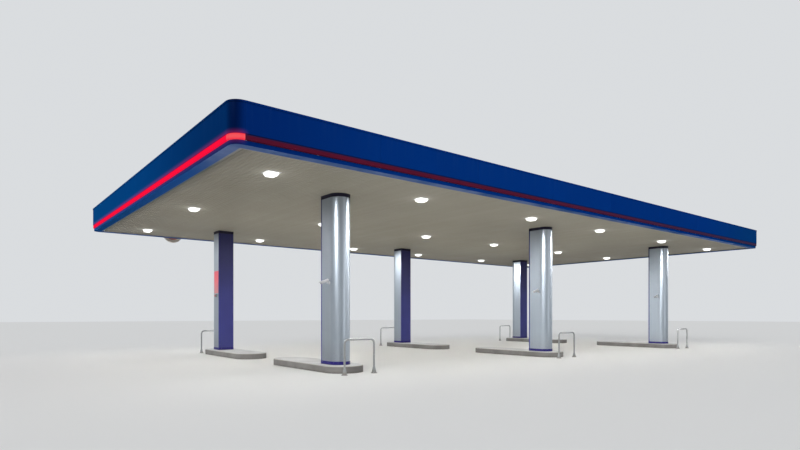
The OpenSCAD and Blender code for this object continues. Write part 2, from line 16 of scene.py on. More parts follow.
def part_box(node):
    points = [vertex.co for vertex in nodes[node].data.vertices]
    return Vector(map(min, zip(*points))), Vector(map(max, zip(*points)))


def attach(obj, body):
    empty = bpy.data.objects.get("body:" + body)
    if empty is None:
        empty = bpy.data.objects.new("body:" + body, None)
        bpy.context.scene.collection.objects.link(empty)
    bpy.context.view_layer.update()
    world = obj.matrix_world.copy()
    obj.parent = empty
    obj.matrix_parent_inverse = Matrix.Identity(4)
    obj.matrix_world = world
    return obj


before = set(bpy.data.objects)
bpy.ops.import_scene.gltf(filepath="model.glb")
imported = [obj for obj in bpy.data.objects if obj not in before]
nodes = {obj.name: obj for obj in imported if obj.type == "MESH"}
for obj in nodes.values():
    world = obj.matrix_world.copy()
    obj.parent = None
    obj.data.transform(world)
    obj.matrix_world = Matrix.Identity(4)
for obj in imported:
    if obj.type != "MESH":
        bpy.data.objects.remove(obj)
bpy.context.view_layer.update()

# %% [markdown]
# The main sizes of the canopy are needed again and again: where the faces of the fascia are, where the
# ceiling is, and where the six columns stand. They are written once here, from the CAD model's boxes
# where a box gives them, so that the fixings sit on the sheets they hold. A column is a place and a way:
# the back row is turned round, so that every nose points outward.

# %% Main sizes of the canopy
half_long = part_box("fascia_left")[0].x * -1
half_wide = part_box("fascia_front")[0].y * -1
corner = 0.30
straight_x = half_long - corner
straight_y = half_wide - corner
panels_long = 8
panels_wide = 4
top_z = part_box("capping")[1].z
clear_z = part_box("lower_band")[0].z
ceiling_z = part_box("soffit_panels")[0].z
strip_z = (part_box("light_strip_left")[0].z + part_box("light_strip_left")[1].z) / 2
island_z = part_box("islands")[1].z
column_x = 9.8
column_y = 4.75
columns = [(sx * column_x, sy * column_y, -sy) for sx in (-1, 0, 1) for sy in (-1, 1)]
nose = 0.31
column_deep = 0.86
back_face = column_deep / 2
nose_centre = -column_deep / 2 + nose
casing_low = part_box("column_casings")[0].z
casing_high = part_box("column_casings")[1].z
lamp_lines_x = (2.25, 7.55, 12.5)
lamp_row_y = 6.0
print("faces at", half_long, half_wide, "ceiling at", round(ceiling_z, 3), "strip at", round(strip_z, 3))

# %% [markdown]
# The camera stands where the photographer stood, at eye height near the left front corner. A wide lens
# looks level, and the picture is shifted up, as an architect's camera does it, so the columns stay
# upright. The lens, the place and the turn were fitted to the edges of the canopy and its columns.

# %% Camera
photo_wide = 800
photo_high = 450
lens_px = 554.29
centre_px = (416.18, 315.75)
eye = Vector((-18.5555, -19.1549, 1.6613))
heading = 0.8836
farthest_seen = 400.0
camera_data = bpy.data.cameras.new("photo_camera")
camera_data.sensor_width = 36.0
camera_data.lens = lens_px / photo_wide * camera_data.sensor_width
camera_data.shift_x = (photo_wide / 2 - centre_px[0]) / photo_wide
camera_data.shift_y = (centre_px[1] - photo_high / 2) / photo_wide
camera_data.clip_end = farthest_seen
camera = bpy.data.objects.new("photo_camera", camera_data)
camera.location = eye
camera.rotation_euler = (math.radians(90.0), 0.0, heading - math.radians(90.0))
scene = bpy.context.scene
scene.collection.objects.link(camera)
scene.camera = camera
scene.view_settings.view_transform = "Standard"
print("lens", round(camera_data.lens, 2), "mm")
print("shift", round(camera_data.shift_x, 4), round(camera_data.shift_y, 4))

# %% [markdown]
# Shader nodes are wired by a few short helpers. `put` adds a node, sets its values and links any socket
# it is given. `calc` is one Math node, `ramp` a smooth step and `blend_colors` one Mix node for colours.
# With them a material reads from top to bottom, like a recipe.

# %% Node helpers
def give(tree, socket, value):
    """Links an answer to a socket, or sets the socket to a plain value."""
    if isinstance(value, bpy.types.NodeSocket):
        tree.links.new(value, socket)
    else:
        socket.default_value = value


def put(tree, kind, values, **settings):
    """Adds one node with its settings and the values of its sockets."""
    node = tree.nodes.new(kind)
    for key, value in settings.items():
        setattr(node, key, value)
    for key, value in values.items():
        give(tree, node.inputs[key], value)
    return node


def calc(tree, operation, first, second=0.0, clamp=False):
    """One Math node, and its answer."""
    node = put(tree, "ShaderNodeMath", {0: first, 1: second}, operation=operation, use_clamp=clamp)
    return node.outputs[0]


def ramp(tree, value, low, high, out_low=0.0, out_high=1.0):
    """Smooth step of a value from one range to another."""
    span = {"Value": value, "From Min": low, "From Max": high, "To Min": out_low, "To Max": out_high}
    return put(tree, "ShaderNodeMapRange", span, interpolation_type="SMOOTHSTEP").outputs[0]


def blend_colors(tree, amount, first, second):
    """One Mix node for colours, and its answer."""
    node = put(tree, "ShaderNodeMix", {}, data_type="RGBA")
    give(tree, node.inputs[0], amount)
    for socket, color in ((node.inputs[6], first), (node.inputs[7], second)):
        give(tree, socket, (*color, 1.0) if isinstance(color, tuple) else color)
    return node.outputs[2]


print("node helpers ready")

# %% [markdown]
# The same few sums come back in every recipe, so they get names as well: a product, a sum, how far two
# values lie apart, a value raised by a share of another, and a colour laid over the paint where a mask
# is. `place_of` gives the point on the surface, in metres, as the point to paint by.

# %% Helpers for common sums and places
def times(tree, first, second):
    """The product of two values."""
    return calc(tree, "MULTIPLY", first, second)


def plus(tree, first, second):
    """The sum of two values."""
    return calc(tree, "ADD", first, second)


def minus(tree, first, second):
    """The difference of two values."""
    return calc(tree, "SUBTRACT", first, second)


def apart(tree, first, second):
    """How far two values lie apart."""
    return calc(tree, "ABSOLUTE", minus(tree, first, second))


def raised(tree, start, value, share):
    """A start value, raised by a share of another value."""
    return plus(tree, start, times(tree, value, share))


def tint(tree, paint, mask, share, color):
    """Lays a colour over the paint where a mask is, at most by a share."""
    return blend_colors(tree, times(tree, mask, share), paint, color)


def noise(tree, point, scale, detail):
    """A soft noise at a point, about 0.5 in the middle."""
    return put(tree, "ShaderNodeTexNoise", {"Vector": point, "Scale": scale, "Detail": detail}).outputs[0]


def stretched_noise(tree, point, scales, detail):
    """A noise with its own scale along each axis, for marks that run one way."""
    stretched = put(tree, "ShaderNodeMapping", {"Vector": point, "Scale": scales}).outputs[0]
    return noise(tree, stretched, 1.0, detail)


def length_of(tree, x=0.0, y=0.0, z=0.0):
    """The length of a way with these parts."""
    way = put(tree, "ShaderNodeCombineXYZ", {0: x, 1: y, 2: z}).outputs[0]
    return put(tree, "ShaderNodeVectorMath", {0: way}, operation="LENGTH").outputs["Value"]


def place_of(tree):
    """The point on the surface in metres, whole and as its x, y and z."""
    point = tree.nodes.new("ShaderNodeTexCoord").outputs["Object"]
    parts = put(tree, "ShaderNodeSeparateXYZ", {0: point}).outputs
    return SimpleNamespace(point=point, x=parts[0], y=parts[1], z=parts[2])


def upward(tree):
    """How much the surface faces up: 1 where it lies level, 0 where it stands."""
    normal = tree.nodes.new("ShaderNodeNewGeometry").outputs["True Normal"]
    return put(tree, "ShaderNodeSeparateXYZ", {0: normal}).outputs[2]


print("helpers for sums and places ready")

# %% [markdown]
# Some effects show on many parts of a building: a soft change of tone over metres, a fine grain, rain
# streaks that run down from an edge, dust, the small steps of tone from one sheet to the next, and open
# joints. Each is one node group, built once, so that a change to the group reaches every material. All
# their sockets carry numbers.

# %% Effect helpers
def new_effect(name, inputs, outputs):
    """An empty node group: its tree, what it is given and what it puts out."""
    tree = bpy.data.node_groups.new(name, "ShaderNodeTree")
    for label, value in inputs.items():
        socket = tree.interface.new_socket(name=label, in_out="INPUT", socket_type="NodeSocketFloat")
        socket.default_value = value
    for label in outputs:
        tree.interface.new_socket(name=label, in_out="OUTPUT", socket_type="NodeSocketFloat")
    return tree, tree.nodes.new("NodeGroupInput").outputs, tree.nodes.new("NodeGroupOutput").inputs


def end_effect(tree, made, *answers):
    """Hands the answers to the group's outputs, in their order."""
    for socket, answer in zip(made, answers):
        tree.links.new(answer, socket)
    print("effect", tree.name)
    return tree


def use_effect(tree, effect, **values):
    """Places a finished effect in a material; words in a name are joined by _."""
    node = tree.nodes.new("ShaderNodeGroup")
    node.node_tree = effect
    for key, value in values.items():
        give(tree, node.inputs[key.replace("_", " ")], value)
    return node.outputs


print("effect helpers ready")

# %% [markdown]
# The first group gives a cloudy tone and a fine grain from two noises of different size.

# %% Effect: tone and grain
tree, given, made = new_effect("surface tone", {"Cloud Scale": 0.6, "Grain Scale": 90.0}, ("Cloud", "Grain"))
at = place_of(tree)
cloud = noise(tree, at.point, given["Cloud Scale"], 4.0)
grain = noise(tree, at.point, given["Grain Scale"], 2.0)
surface_tone = end_effect(tree, made, ramp(tree, cloud, 0.3, 0.7), grain)

# %% [markdown]
# Rain leaves thin streaks below an edge. A noise is squeezed across and stretched down the sheet, and it
# fades with the distance below the edge. `Edge` is the height that the streaks start from.

# %% Effect: rain streaks
tree, given, made = new_effect("rain streaks", {"Edge": 6.0, "Reach": 0.7, "Across": 9.0}, ("Mask",))
at = place_of(tree)
along = times(tree, plus(tree, at.x, at.y), given["Across"])
aside = times(tree, minus(tree, at.x, at.y), given["Across"])
squeezed = put(tree, "ShaderNodeCombineXYZ", {0: along, 1: aside, 2: times(tree, at.z, 0.35)}).outputs[0]
below = calc(tree, "DIVIDE", minus(tree, given["Edge"], at.z), given["Reach"])
fade = ramp(tree, below, 1.0, 0.0)
streak = times(tree, ramp(tree, noise(tree, squeezed, 1.0, 3.0), 0.5, 0.68), fade)
rain_streaks = end_effect(tree, made, streak)

# %% [markdown]
# Sheets and planks of one batch never match quite. The next group cuts a coordinate into equal lengths
# and gives each length its own random tone, and a thin line where one length ends.

# %% Effect: steps from sheet to sheet
tree, given, made = new_effect(
    "sheet steps",
    {"Place": 0.0, "Start": 0.0, "Length": 1.0, "Line": 0.004},
    ("Tone", "Joint"),
)
whole = calc(tree, "DIVIDE", minus(tree, given["Place"], given["Start"]), given["Length"])
number = calc(tree, "FLOOR", whole)
tone = put(tree, "ShaderNodeTexWhiteNoise", {"W": number}, noise_dimensions="1D").outputs[0]
part = calc(tree, "FRACT", whole)
near = calc(tree, "MINIMUM", part, minus(tree, 1.0, part))
joint = calc(tree, "LESS_THAN", times(tree, near, given["Length"]), given["Line"])
sheet_steps = end_effect(tree, made, tone, joint)

# %% [markdown]
# Dust settles on what faces up and stays in patches. The mask is the upward part of the normal times
# a noise, so it works on any part without knowing its shape.

# %% Effect: settled dust
tree, given, made = new_effect("settled dust", {"Amount": 0.5, "Patch Scale": 1.6}, ("Mask",))
patch = noise(tree, place_of(tree).point, given["Patch Scale"], 5.0)
lies = times(tree, ramp(tree, upward(tree), 0.3, 0.95), ramp(tree, patch, 0.35, 0.75))
settled_dust = end_effect(tree, made, times(tree, lies, given["Amount"]))

# %% [markdown]
# Hot-dip zinc cools in flat crystals, the spangle. Cells of a Voronoi texture give every crystal its own
# grey, and a little noise in the place bends their edges. The same group serves the hoops, the purlins,
# the gutters and the flashings, each at its own size.

# %% Effect: zinc spangle
tree, given, made = new_effect("zinc spangle", {"Size": 70.0}, ("Tone",))
at = place_of(tree)
bend_by = (0.02, 0.02, 0.02)
bent = put(tree, "ShaderNodeTexNoise", {"Vector": at.point, "Scale": 25.0, "Detail": 2.0}).outputs["Color"]
moved = put(tree, "ShaderNodeVectorMath", {0: bent, 1: bend_by}, operation="MULTIPLY").outputs[0]
shifted = put(tree, "ShaderNodeVectorMath", {0: at.point, 1: moved}, operation="ADD").outputs[0]
cells = put(tree, "ShaderNodeTexVoronoi", {"Vector": shifted, "Scale": given["Size"]}).outputs["Color"]
cell_grey = put(tree, "ShaderNodeSeparateXYZ", {0: cells}).outputs[0]
zinc_spangle = end_effect(tree, made, cell_grey)

# %% [markdown]
# The fittings light the ceiling around them, and the lit strip reddens the sheets beside it. Both show
# as a glow that fades with the distance from the light. The fittings stand in three lines on each side
# of the middle and in three rows, so the distance to the nearest one comes from a few Math nodes.

# %% Effect: glow of the fittings
def fading(tree, away, reach, power):
    """A glow: 1 at the light, 0 at its reach, and steep near the light by the power."""
    close = calc(tree, "SUBTRACT", 1.0, calc(tree, "DIVIDE", away, reach), clamp=True)
    return calc(tree, "POWER", close, power)


tree, given, made = new_effect("lamp glow", {"Reach": 1.0}, ("Mask",))
at = place_of(tree)
side_x = calc(tree, "ABSOLUTE", at.x)
side_y = calc(tree, "ABSOLUTE", at.y)
far_off = 99.0
off_x = far_off
for line in lamp_lines_x:
    off_x = calc(tree, "MINIMUM", off_x, apart(tree, side_x, line))
off_y = calc(tree, "MINIMUM", side_y, apart(tree, side_y, lamp_row_y))
lamp_glow = end_effect(tree, made, fading(tree, length_of(tree, off_x, off_y), given["Reach"], 3.0))

# %% [markdown]
# The strip's glow starts at its edges, above and below. It is there only on the lit left end and round
# its corners, and it is weaker below the strip, where the lower band stands further back.

# %% Effect: glow of the lit strip
strip_half = 0.06
tree, given, made = new_effect("strip glow", {"Reach": 0.12}, ("Mask",))
at = place_of(tree)
past = minus(tree, apart(tree, at.z, strip_z), strip_half)
lit_end = ramp(tree, at.x, -straight_x + 0.10, -straight_x - 0.12)
lit_end = times(tree, lit_end, ramp(tree, at.z, strip_z - 0.02, strip_z + 0.02, 0.45, 0.9))
strip_glow = end_effect(tree, made, times(tree, fading(tree, past, given["Reach"], 2.0), lit_end))

# %% [markdown]
# Cast concrete has sand in its skin, round pores where air was caught, and stains that spread over it.
# One group gives all three as masks, and the height of the skin with its pores.

# %% Effect: cast concrete
tree, given, made = new_effect(
    "cast concrete",
    {"Stain Scale": 1.4, "Pore Scale": 26.0},
    ("Stain", "Sand", "Pore", "Height"),
)
at = place_of(tree)
stain = ramp(tree, noise(tree, at.point, given["Stain Scale"], 6.0), 0.32, 0.68)
sand = noise(tree, at.point, 160.0, 3.0)
holes = put(tree, "ShaderNodeTexVoronoi", {"Vector": at.point, "Scale": given["Pore Scale"]})
pore = ramp(tree, holes.outputs["Distance"], 0.16, 0.07)
height = minus(tree, times(tree, sand, 0.4), pore)
cast_concrete = end_effect(tree, made, stain, sand, pore, height)

# %% [markdown]
# A material keeps its Principled shader in its own tree. `new_finish` starts one and sets the constant
# values on the shader's own sockets; colours, roughness and bumps that change over the surface are
# linked afterwards. `press` adds a Bump node for a height that an effect gives. `plain_skin` is the
# whole recipe for a plain painted or moulded surface: two tones in clouds, and a grain in its gloss.

# %% Finish helpers
finishes = {}
no_light = (0.0, 0.0, 0.0)


def new_finish(name, **constants):
    """A new material with one Principled shader; returns its tree and the shader."""
    material = bpy.data.materials.new(name)
    material.use_nodes = True
    shader = material.node_tree.nodes["Principled BSDF"]
    for key, value in constants.items():
        shader.inputs[key.replace("_", " ")].default_value = value
    finishes[name] = material
    print("finish", name)
    return material.node_tree, shader


def feed(tree, shader, **links):
    """Links answers of the effects to the shader's sockets."""
    for key, value in links.items():
        tree.links.new(value, shader.inputs[key.replace("_", " ")])


def press(tree, shader, height, strength, distance):
    """Shapes the skin by a height, with a Bump node."""
    bump = put(tree, "ShaderNodeBump", {"Height": height, "Strength": strength, "Distance": distance})
    feed(tree, shader, Normal=bump.outputs[0])


def tone_of(tree, cloud_scale, grain_scale):
    """The tone and grain effect at these scales."""
    return use_effect(tree, surface_tone, Cloud_Scale=cloud_scale, Grain_Scale=grain_scale)


def plain_skin(name, specular, scales, colors, rough, bump):
    """A plain finish: scales of cloud and grain, two colours, roughness and its spread, and a bump."""
    tree, shader = new_finish(name, Specular_IOR_Level=specular)
    tone = tone_of(tree, *scales)
    paint = blend_colors(tree, tone["Cloud"], *colors)
    feed(tree, shader, Base_Color=paint, Roughness=raised(tree, rough[0], tone["Grain"], rough[1]))
    press(tree, shader, tone["Grain"], *bump)


print("finish helpers ready")

# %% [markdown]
# The fascia is folded from coated sheet in a deep blue. Its colour is laid in layers, from broad to
# small. The first cell gives the ground: each panel has a slightly different tone, soft clouds lie over
# them, a painted shade deepens the long sides near the left corner, and they are paler towards the right
# end.

# %% Finish: blue fascia, the ground colour
tree, shader = new_finish("fascia_blue", Specular_IOR_Level=0.0, Emission_Strength=1.0)
at = place_of(tree)
panel_long = straight_x * 2 / panels_long
panel_wide = straight_y * 2 / panels_wide
steps_x = use_effect(tree, sheet_steps, Place=at.x, Start=-straight_x, Length=panel_long, Line=0.0)
steps_y = use_effect(tree, sheet_steps, Place=at.y, Start=-straight_y, Length=panel_wide, Line=0.0)
panel_tone = plus(tree, times(tree, steps_x["Tone"], 0.5), times(tree, steps_y["Tone"], 0.5))
tone = tone_of(tree, 0.35, 45.0)
paint = blend_colors(tree, panel_tone, (0.0008, 0.0275, 0.176), (0.0010, 0.0325, 0.200))
paint = tint(tree, paint, tone["Cloud"], 0.35, (0.0009, 0.035, 0.212))
# Painted shade: the long sides darken towards the left corner.
near_corner = ramp(tree, at.x, -half_long + 5.0, -half_long)
paint = tint(tree, paint, near_corner, 0.8, (0.0006, 0.017, 0.125))
right_end = ramp(tree, at.x, 7.0, half_long, 0.0, 0.8)
paint = blend_colors(tree, right_end, paint, (0.0018, 0.038, 0.148))
print("fascia panels", round(panel_long, 3), "and", round(panel_wide, 3), "m long")

# %% [markdown]
# The end faces carry a painted reflection of the sky: a greener blue, which brightens from front to
# back. The rounded corners are rolled pieces of their own; a painted shade deepens their tone towards
# the middle of the bend, where the product of the two distances into the corner is largest.

# %% Finish: blue fascia, its ends and corners
side_x = calc(tree, "ABSOLUTE", at.x)
side_y = calc(tree, "ABSOLUTE", at.y)
from_front = ramp(tree, at.y, -half_wide, 1.0)
# Painted reflection of the sky on the end faces, brighter towards the back.
end_sky_reflection = blend_colors(tree, from_front, (0.0008, 0.021, 0.098), (0.0010, 0.044, 0.175))
end_sky_reflection = blend_colors(tree, ramp(tree, at.y, 0.0, half_wide), end_sky_reflection, (0.0012, 0.050, 0.182))
on_end = calc(tree, "GREATER_THAN", side_x, half_long - 0.05)
paint = blend_colors(tree, on_end, paint, end_sky_reflection)
round_x = calc(tree, "DIVIDE", minus(tree, side_x, straight_x), corner, clamp=True)
round_y = calc(tree, "DIVIDE", minus(tree, side_y, straight_y), corner, clamp=True)
rounded = calc(tree, "MULTIPLY", times(tree, round_x, round_y), 2.0, clamp=True)
# Painted shade, deepest in the middle of each rounded corner.
paint = tint(tree, paint, rounded, 0.95, (0.0004, 0.005, 0.036))
print("fascia ends and corners painted")

# %% [markdown]
# Last come rain, dust and light. Rain leaves faint pale streaks below the capping, and dust dulls the
# sheet. The return under the lower band faces the bright forecourt, so it is painted paler and mottled
# with painted bounce light, and it turns to an even, deeper blue below the two ends. Beside the lit
# strip a painted red glow lies on the sheet.

# %% Finish: blue fascia, its streaks, dust, underside and glow
streaks = use_effect(tree, rain_streaks, Edge=top_z, Reach=0.75, Across=7.0)["Mask"]
dust = use_effect(tree, settled_dust, Amount=0.8, Patch_Scale=1.2)["Mask"]
paint = tint(tree, paint, streaks, 0.07, (0.03, 0.07, 0.20))
paint = blend_colors(tree, dust, paint, (0.16, 0.17, 0.19))
below_end = ramp(tree, side_x, half_long - 0.45, half_long - 0.25)
below_end = times(tree, below_end, ramp(tree, at.y, -half_wide + 0.8, -half_wide + 3.6))
end_blue = blend_colors(tree, ramp(tree, at.y, -4.0, 4.0), (0.014, 0.082, 0.30), (0.006, 0.066, 0.225))
patches = tone_of(tree, 1.1, 45.0)["Cloud"]
pale_blue = blend_colors(tree, patches, (0.045, 0.100, 0.27), (0.125, 0.185, 0.37))
# Painted bounce light on the return underneath.
under = calc(tree, "LESS_THAN", at.z, clear_z + 0.003)
paint = blend_colors(tree, under, paint, blend_colors(tree, below_end, pale_blue, end_blue))
gloss = plus(tree, times(tree, tone["Grain"], 0.12), times(tree, streaks, 0.15))
gloss = plus(tree, gloss, raised(tree, 0.62, dust, 0.2))
# Painted red glow of the lit strip on the sheets beside it.
red = use_effect(tree, strip_glow, Reach=0.13)["Mask"]
glow = blend_colors(tree, red, no_light, (0.20, 0.003, 0.04))
feed(tree, shader, Base_Color=paint, Roughness=gloss, Emission_Color=glow)
press(tree, shader, tone["Cloud"], 0.05, 0.02)
print("fascia_blue complete")

# %% [markdown]
# The strip is a red diffuser with small lights behind it. On the left end and its two corners it is
# switched on: the light is even, a little stronger in the middle of its height and over each row of
# lights, and hot at the corners, where the pieces are short. The other strips are off. They are a dark
# red that turns bluer towards the right end, and their upper edge lies in the shade of the panels.

# %% Finish: light strips
strip_lights = {
    "strip_lit": ((0.84, 0.006, 0.048), (1.0, 0.005, 0.042)),
    "strip_lit_corner": ((0.88, 0.03, 0.06), (0.90, 0.095, 0.11)),
    "strip_unlit": None,
}
for name, dim_and_bright in strip_lights.items():
    base = (0.02, 0.0, 0.001) if dim_and_bright else (0.103, 0.006, 0.026)
    tree, shader = new_finish(name, Roughness=0.55, Specular_IOR_Level=0.0 if dim_and_bright else 0.03)
    at = place_of(tree)
    tone = tone_of(tree, 0.8, 140.0)
    skin = blend_colors(tree, tone["Cloud"], base, tuple(v * 0.85 for v in base))
    if dim_and_bright:
        rows = use_effect(tree, sheet_steps, Place=plus(tree, at.x, at.y), Start=0.0, Length=0.12, Line=0.03)
        middle = ramp(tree, apart(tree, at.z, strip_z), 0.07, 0.01)
        level = plus(tree, times(tree, middle, 0.8), times(tree, rows["Joint"], 0.2))
        shader.inputs["Emission Strength"].default_value = 1.0
        feed(tree, shader, Emission_Color=blend_colors(tree, level, *dim_and_bright))
    else:
        to_right = ramp(tree, at.x, -11.0, half_long - 1.5)
        skin = blend_colors(tree, to_right, skin, (0.034, 0.010, 0.052))
        shaded = ramp(tree, at.z, strip_z + 0.02, strip_z + 0.05, 0.0, 0.8)
        skin = blend_colors(tree, shaded, skin, (0.006, 0.012, 0.065))
    feed(tree, shader, Base_Color=skin)
    press(tree, shader, tone["Grain"], 0.04, 0.004)

# %% [markdown]
# The ceiling is a strip ceiling: coated planks across the canopy, hung side by side, in a warm grey
# white with a dull sheen. Each plank and each bay differs a little, there are faint water marks, and
# the grooves between the planks catch the light. Two random steps, one per plank and one per bay, give
# the small differences; a noise stretched across the canopy gives the marks.

# %% Finish: ceiling planks
bays = 12
planks_in_bay = 23
tree, shader = new_finish("ceiling", Specular_IOR_Level=0.06, Emission_Strength=1.0)
at = place_of(tree)
ceiling_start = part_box("soffit_panels")[0].x
plank = (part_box("soffit_panels")[1].x - ceiling_start) / (bays * planks_in_bay)
plank_steps = use_effect(tree, sheet_steps, Place=at.x, Start=ceiling_start, Length=plank, Line=0.0)
bay_steps = use_effect(
    tree, sheet_steps, Place=at.x, Start=ceiling_start, Length=plank * planks_in_bay, Line=0.0
)
water_marks = ramp(tree, stretched_noise(tree, at.point, (3.4, 0.22, 1.0), 3.0), 0.5, 0.8)
paint = blend_colors(tree, plank_steps["Tone"], (0.345, 0.319, 0.256), (0.372, 0.346, 0.281))
paint = tint(tree, paint, bay_steps["Tone"], 0.2, (0.30, 0.275, 0.22))
paint = tint(tree, paint, water_marks, 0.25, (0.29, 0.255, 0.20))
# Painted light: the insides of the grooves are paler, against the shade in them.
in_groove = calc(tree, "GREATER_THAN", at.z, ceiling_z + 0.001)
paint = blend_colors(tree, in_groove, paint, (0.50, 0.47, 0.38))
print("plank", round(plank, 4), "m wide")

# %% [markdown]
# Round each fitting the light pools on the planks, in a small bright ring and a wide weak one. Between
# the pools the ceiling is brightest a little left of the middle. It gets darker towards both ends and
# towards the back, and darkest in the last few planks at each end. These are soft ramps over the place.

# %% Finish: light and shade on the ceiling
brightest_left_by = 2.5
from_brightest = calc(tree, "ABSOLUTE", plus(tree, at.x, brightest_left_by))
to_ends = ramp(tree, from_brightest, 5.0, 15.5, 0.0, 0.43)
to_back = ramp(tree, at.y, 0.5, 7.0, 0.0, 0.24)
paint = blend_colors(tree, plus(tree, to_ends, to_back), paint, (0.145, 0.132, 0.106))
end_planks = ramp(tree, calc(tree, "ABSOLUTE", at.x), half_long - 0.75, half_long - 0.38, 0.0, 0.45)
paint = blend_colors(tree, end_planks, paint, (0.10, 0.10, 0.09))
pool = use_effect(tree, lamp_glow, Reach=1.9)["Mask"]
halo = use_effect(tree, lamp_glow, Reach=0.75)["Mask"]
light = blend_colors(tree, pool, no_light, (0.05, 0.05, 0.045))
light = blend_colors(tree, halo, light, (0.30, 0.295, 0.275))
tone = tone_of(tree, 0.45, 60.0)
gloss = raised(tree, 0.48, tone["Cloud"], 0.12)
feed(tree, shader, Base_Color=paint, Roughness=gloss, Emission_Color=light)
press(tree, shader, tone["Cloud"], 0.05, 0.01)
print("ceiling complete")

# %% [markdown]
# A folded trim closes the ceiling along all four sides. It is a plain grey, and darker and greener along
# the two ends, least so near the front.

# %% Finish: edge trim of the ceiling
tree, shader = new_finish("ceiling_trim", Specular_IOR_Level=0.1)
at = place_of(tree)
tone = tone_of(tree, 1.0, 80.0)
paint = blend_colors(tree, tone["Cloud"], (0.30, 0.28, 0.25), (0.36, 0.34, 0.30))
at_end = ramp(tree, calc(tree, "ABSOLUTE", at.x), half_long - 0.42, half_long - 0.38)
at_end = times(tree, at_end, ramp(tree, at.y, -half_wide + 0.6, -half_wide + 2.6, 0.3, 1.0))
paint = blend_colors(tree, at_end, paint, (0.082, 0.098, 0.090))
feed(tree, shader, Base_Color=paint, Roughness=raised(tree, 0.35, tone["Grain"], 0.2))
press(tree, shader, tone["Grain"], 0.03, 0.003)

# %% [markdown]
# The fittings are white boxes with a clear drop lens. Behind the lens stand rows of small bright
# points. The lens shines evenly between them, so that from afar it is one white light.

# %% Finish: light fittings
tree, shader = new_finish("lamp_lens", Roughness=0.12, Emission_Strength=1.6)
at = place_of(tree)
rows_x = use_effect(tree, sheet_steps, Place=at.x, Start=0.0, Length=0.05, Line=0.013)
rows_y = use_effect(tree, sheet_steps, Place=at.y, Start=0.0, Length=0.05, Line=0.013)
bright_points = times(tree, rows_x["Joint"], rows_y["Joint"])
light = blend_colors(tree, bright_points, (0.86, 0.87, 0.84), (1.0, 1.0, 0.98))
tone = tone_of(tree, 5.0, 300.0)
body = blend_colors(tree, tone["Cloud"], (0.8, 0.8, 0.78), (0.9, 0.9, 0.88))
feed(tree, shader, Base_Color=body, Emission_Color=light)
press(tree, shader, tone["Grain"], 0.1, 0.002)

tree, shader = new_finish("lamp_case", Specular_IOR_Level=0.5, Emission_Strength=1.0)
tone = tone_of(tree, 3.0, 220.0)
paint = blend_colors(tree, tone["Cloud"], (0.56, 0.56, 0.54), (0.63, 0.63, 0.61))
# Painted glow: the case beside the lens carries the lens's light as emission.
halo = use_effect(tree, lamp_glow, Reach=0.75)["Mask"]
light = blend_colors(tree, halo, no_light, (0.22, 0.22, 0.21))
gloss = raised(tree, 0.3, tone["Grain"], 0.15)
feed(tree, shader, Base_Color=paint, Roughness=gloss, Emission_Color=light)
press(tree, shader, tone["Grain"], 0.08, 0.001)

# %% [markdown]
# The casings are silver coated sheet rolled round the steel post. The coating has metal flakes and a
# grain that runs up the sheet, so it is metal with a fairly rough skin that is rougher up and down than
# across: each light beside a column becomes a tall tapered streak. The Anisotropic socket does that,
# and the Tangent socket gets the upward direction. A brushed tone runs up the sheet as well, and splash
# dirt gathers at the foot.

# %% Finish: silver casings
tree, shader = new_finish("silver_cladding", Metallic=0.95, Anisotropic=0.45)
feed(tree, shader, Tangent=put(tree, "ShaderNodeCombineXYZ", {2: 1.0}).outputs[0])
at = place_of(tree)
tone = tone_of(tree, 0.9, 120.0)
brushed = stretched_noise(tree, at.point, (42.0, 42.0, 0.5), 3.0)
foot = times(tree, ramp(tree, at.z, 1.1, casing_low), ramp(tree, tone["Grain"], 0.35, 0.6))
paint = blend_colors(tree, brushed, (0.305, 0.345, 0.39), (0.370, 0.415, 0.465))
paint = tint(tree, paint, foot, 0.35, (0.22, 0.21, 0.20))
gloss = raised(tree, raised(tree, 0.39, brushed, 0.05), foot, 0.2)
feed(tree, shader, Base_Color=paint, Roughness=gloss)
press(tree, shader, tone["Cloud"], 0.12, 0.012)

# %% [markdown]
# The flat panels between the casings and their corner trims are violet blue, and the skirts at the foot
# are a purer blue. The collars are nearly black. All are satin paints on sheet, with a painted shade
# that darkens them towards the ceiling, and scuffs low down.

# %% Finish: violet panels, skirts, dark trims
satin_paints = {
    "violet_cladding": ((0.028, 0.028, 0.105), (0.052, 0.056, 0.240), 0.42),
    "skirt_blue": ((0.016, 0.012, 0.110), (0.024, 0.018, 0.165), 0.42),
    "navy_trim": ((0.017, 0.015, 0.032), (0.024, 0.021, 0.044), 0.45),
}
for name, (dark, light, rough) in satin_paints.items():
    tree, shader = new_finish(name, Specular_IOR_Level=0.1)
    at = place_of(tree)
    tone = tone_of(tree, 0.8, 150.0)
    scuff = times(tree, ramp(tree, at.z, 1.2, 0.2), ramp(tree, tone["Grain"], 0.52, 0.62))
    # Painted shade: darker at the top under the ceiling, lighter low down.
    paint = blend_colors(tree, ramp(tree, at.z, casing_high, 1.5), dark, light)
    paint = tint(tree, paint, tone["Cloud"], 0.2, dark)
    paint = tint(tree, paint, scuff, 0.3, (0.12, 0.12, 0.15))
    feed(tree, shader, Base_Color=paint, Roughness=raised(tree, rough, scuff, 0.25))
    press(tree, shader, tone["Grain"], 0.05, 0.002)

# %% [markdown]
# Zinc appears in four places. The hoops are dipped after welding and handled every day, the roof
# structure keeps its bright spangle, the gutters are stained by standing water, and the flashings are
# coated sheet. The roof sheets are coated too, and dirt washes down them towards the gutters, while the
# hoops are splashed just above the ground. Everywhere else dirt is the dust that has settled.

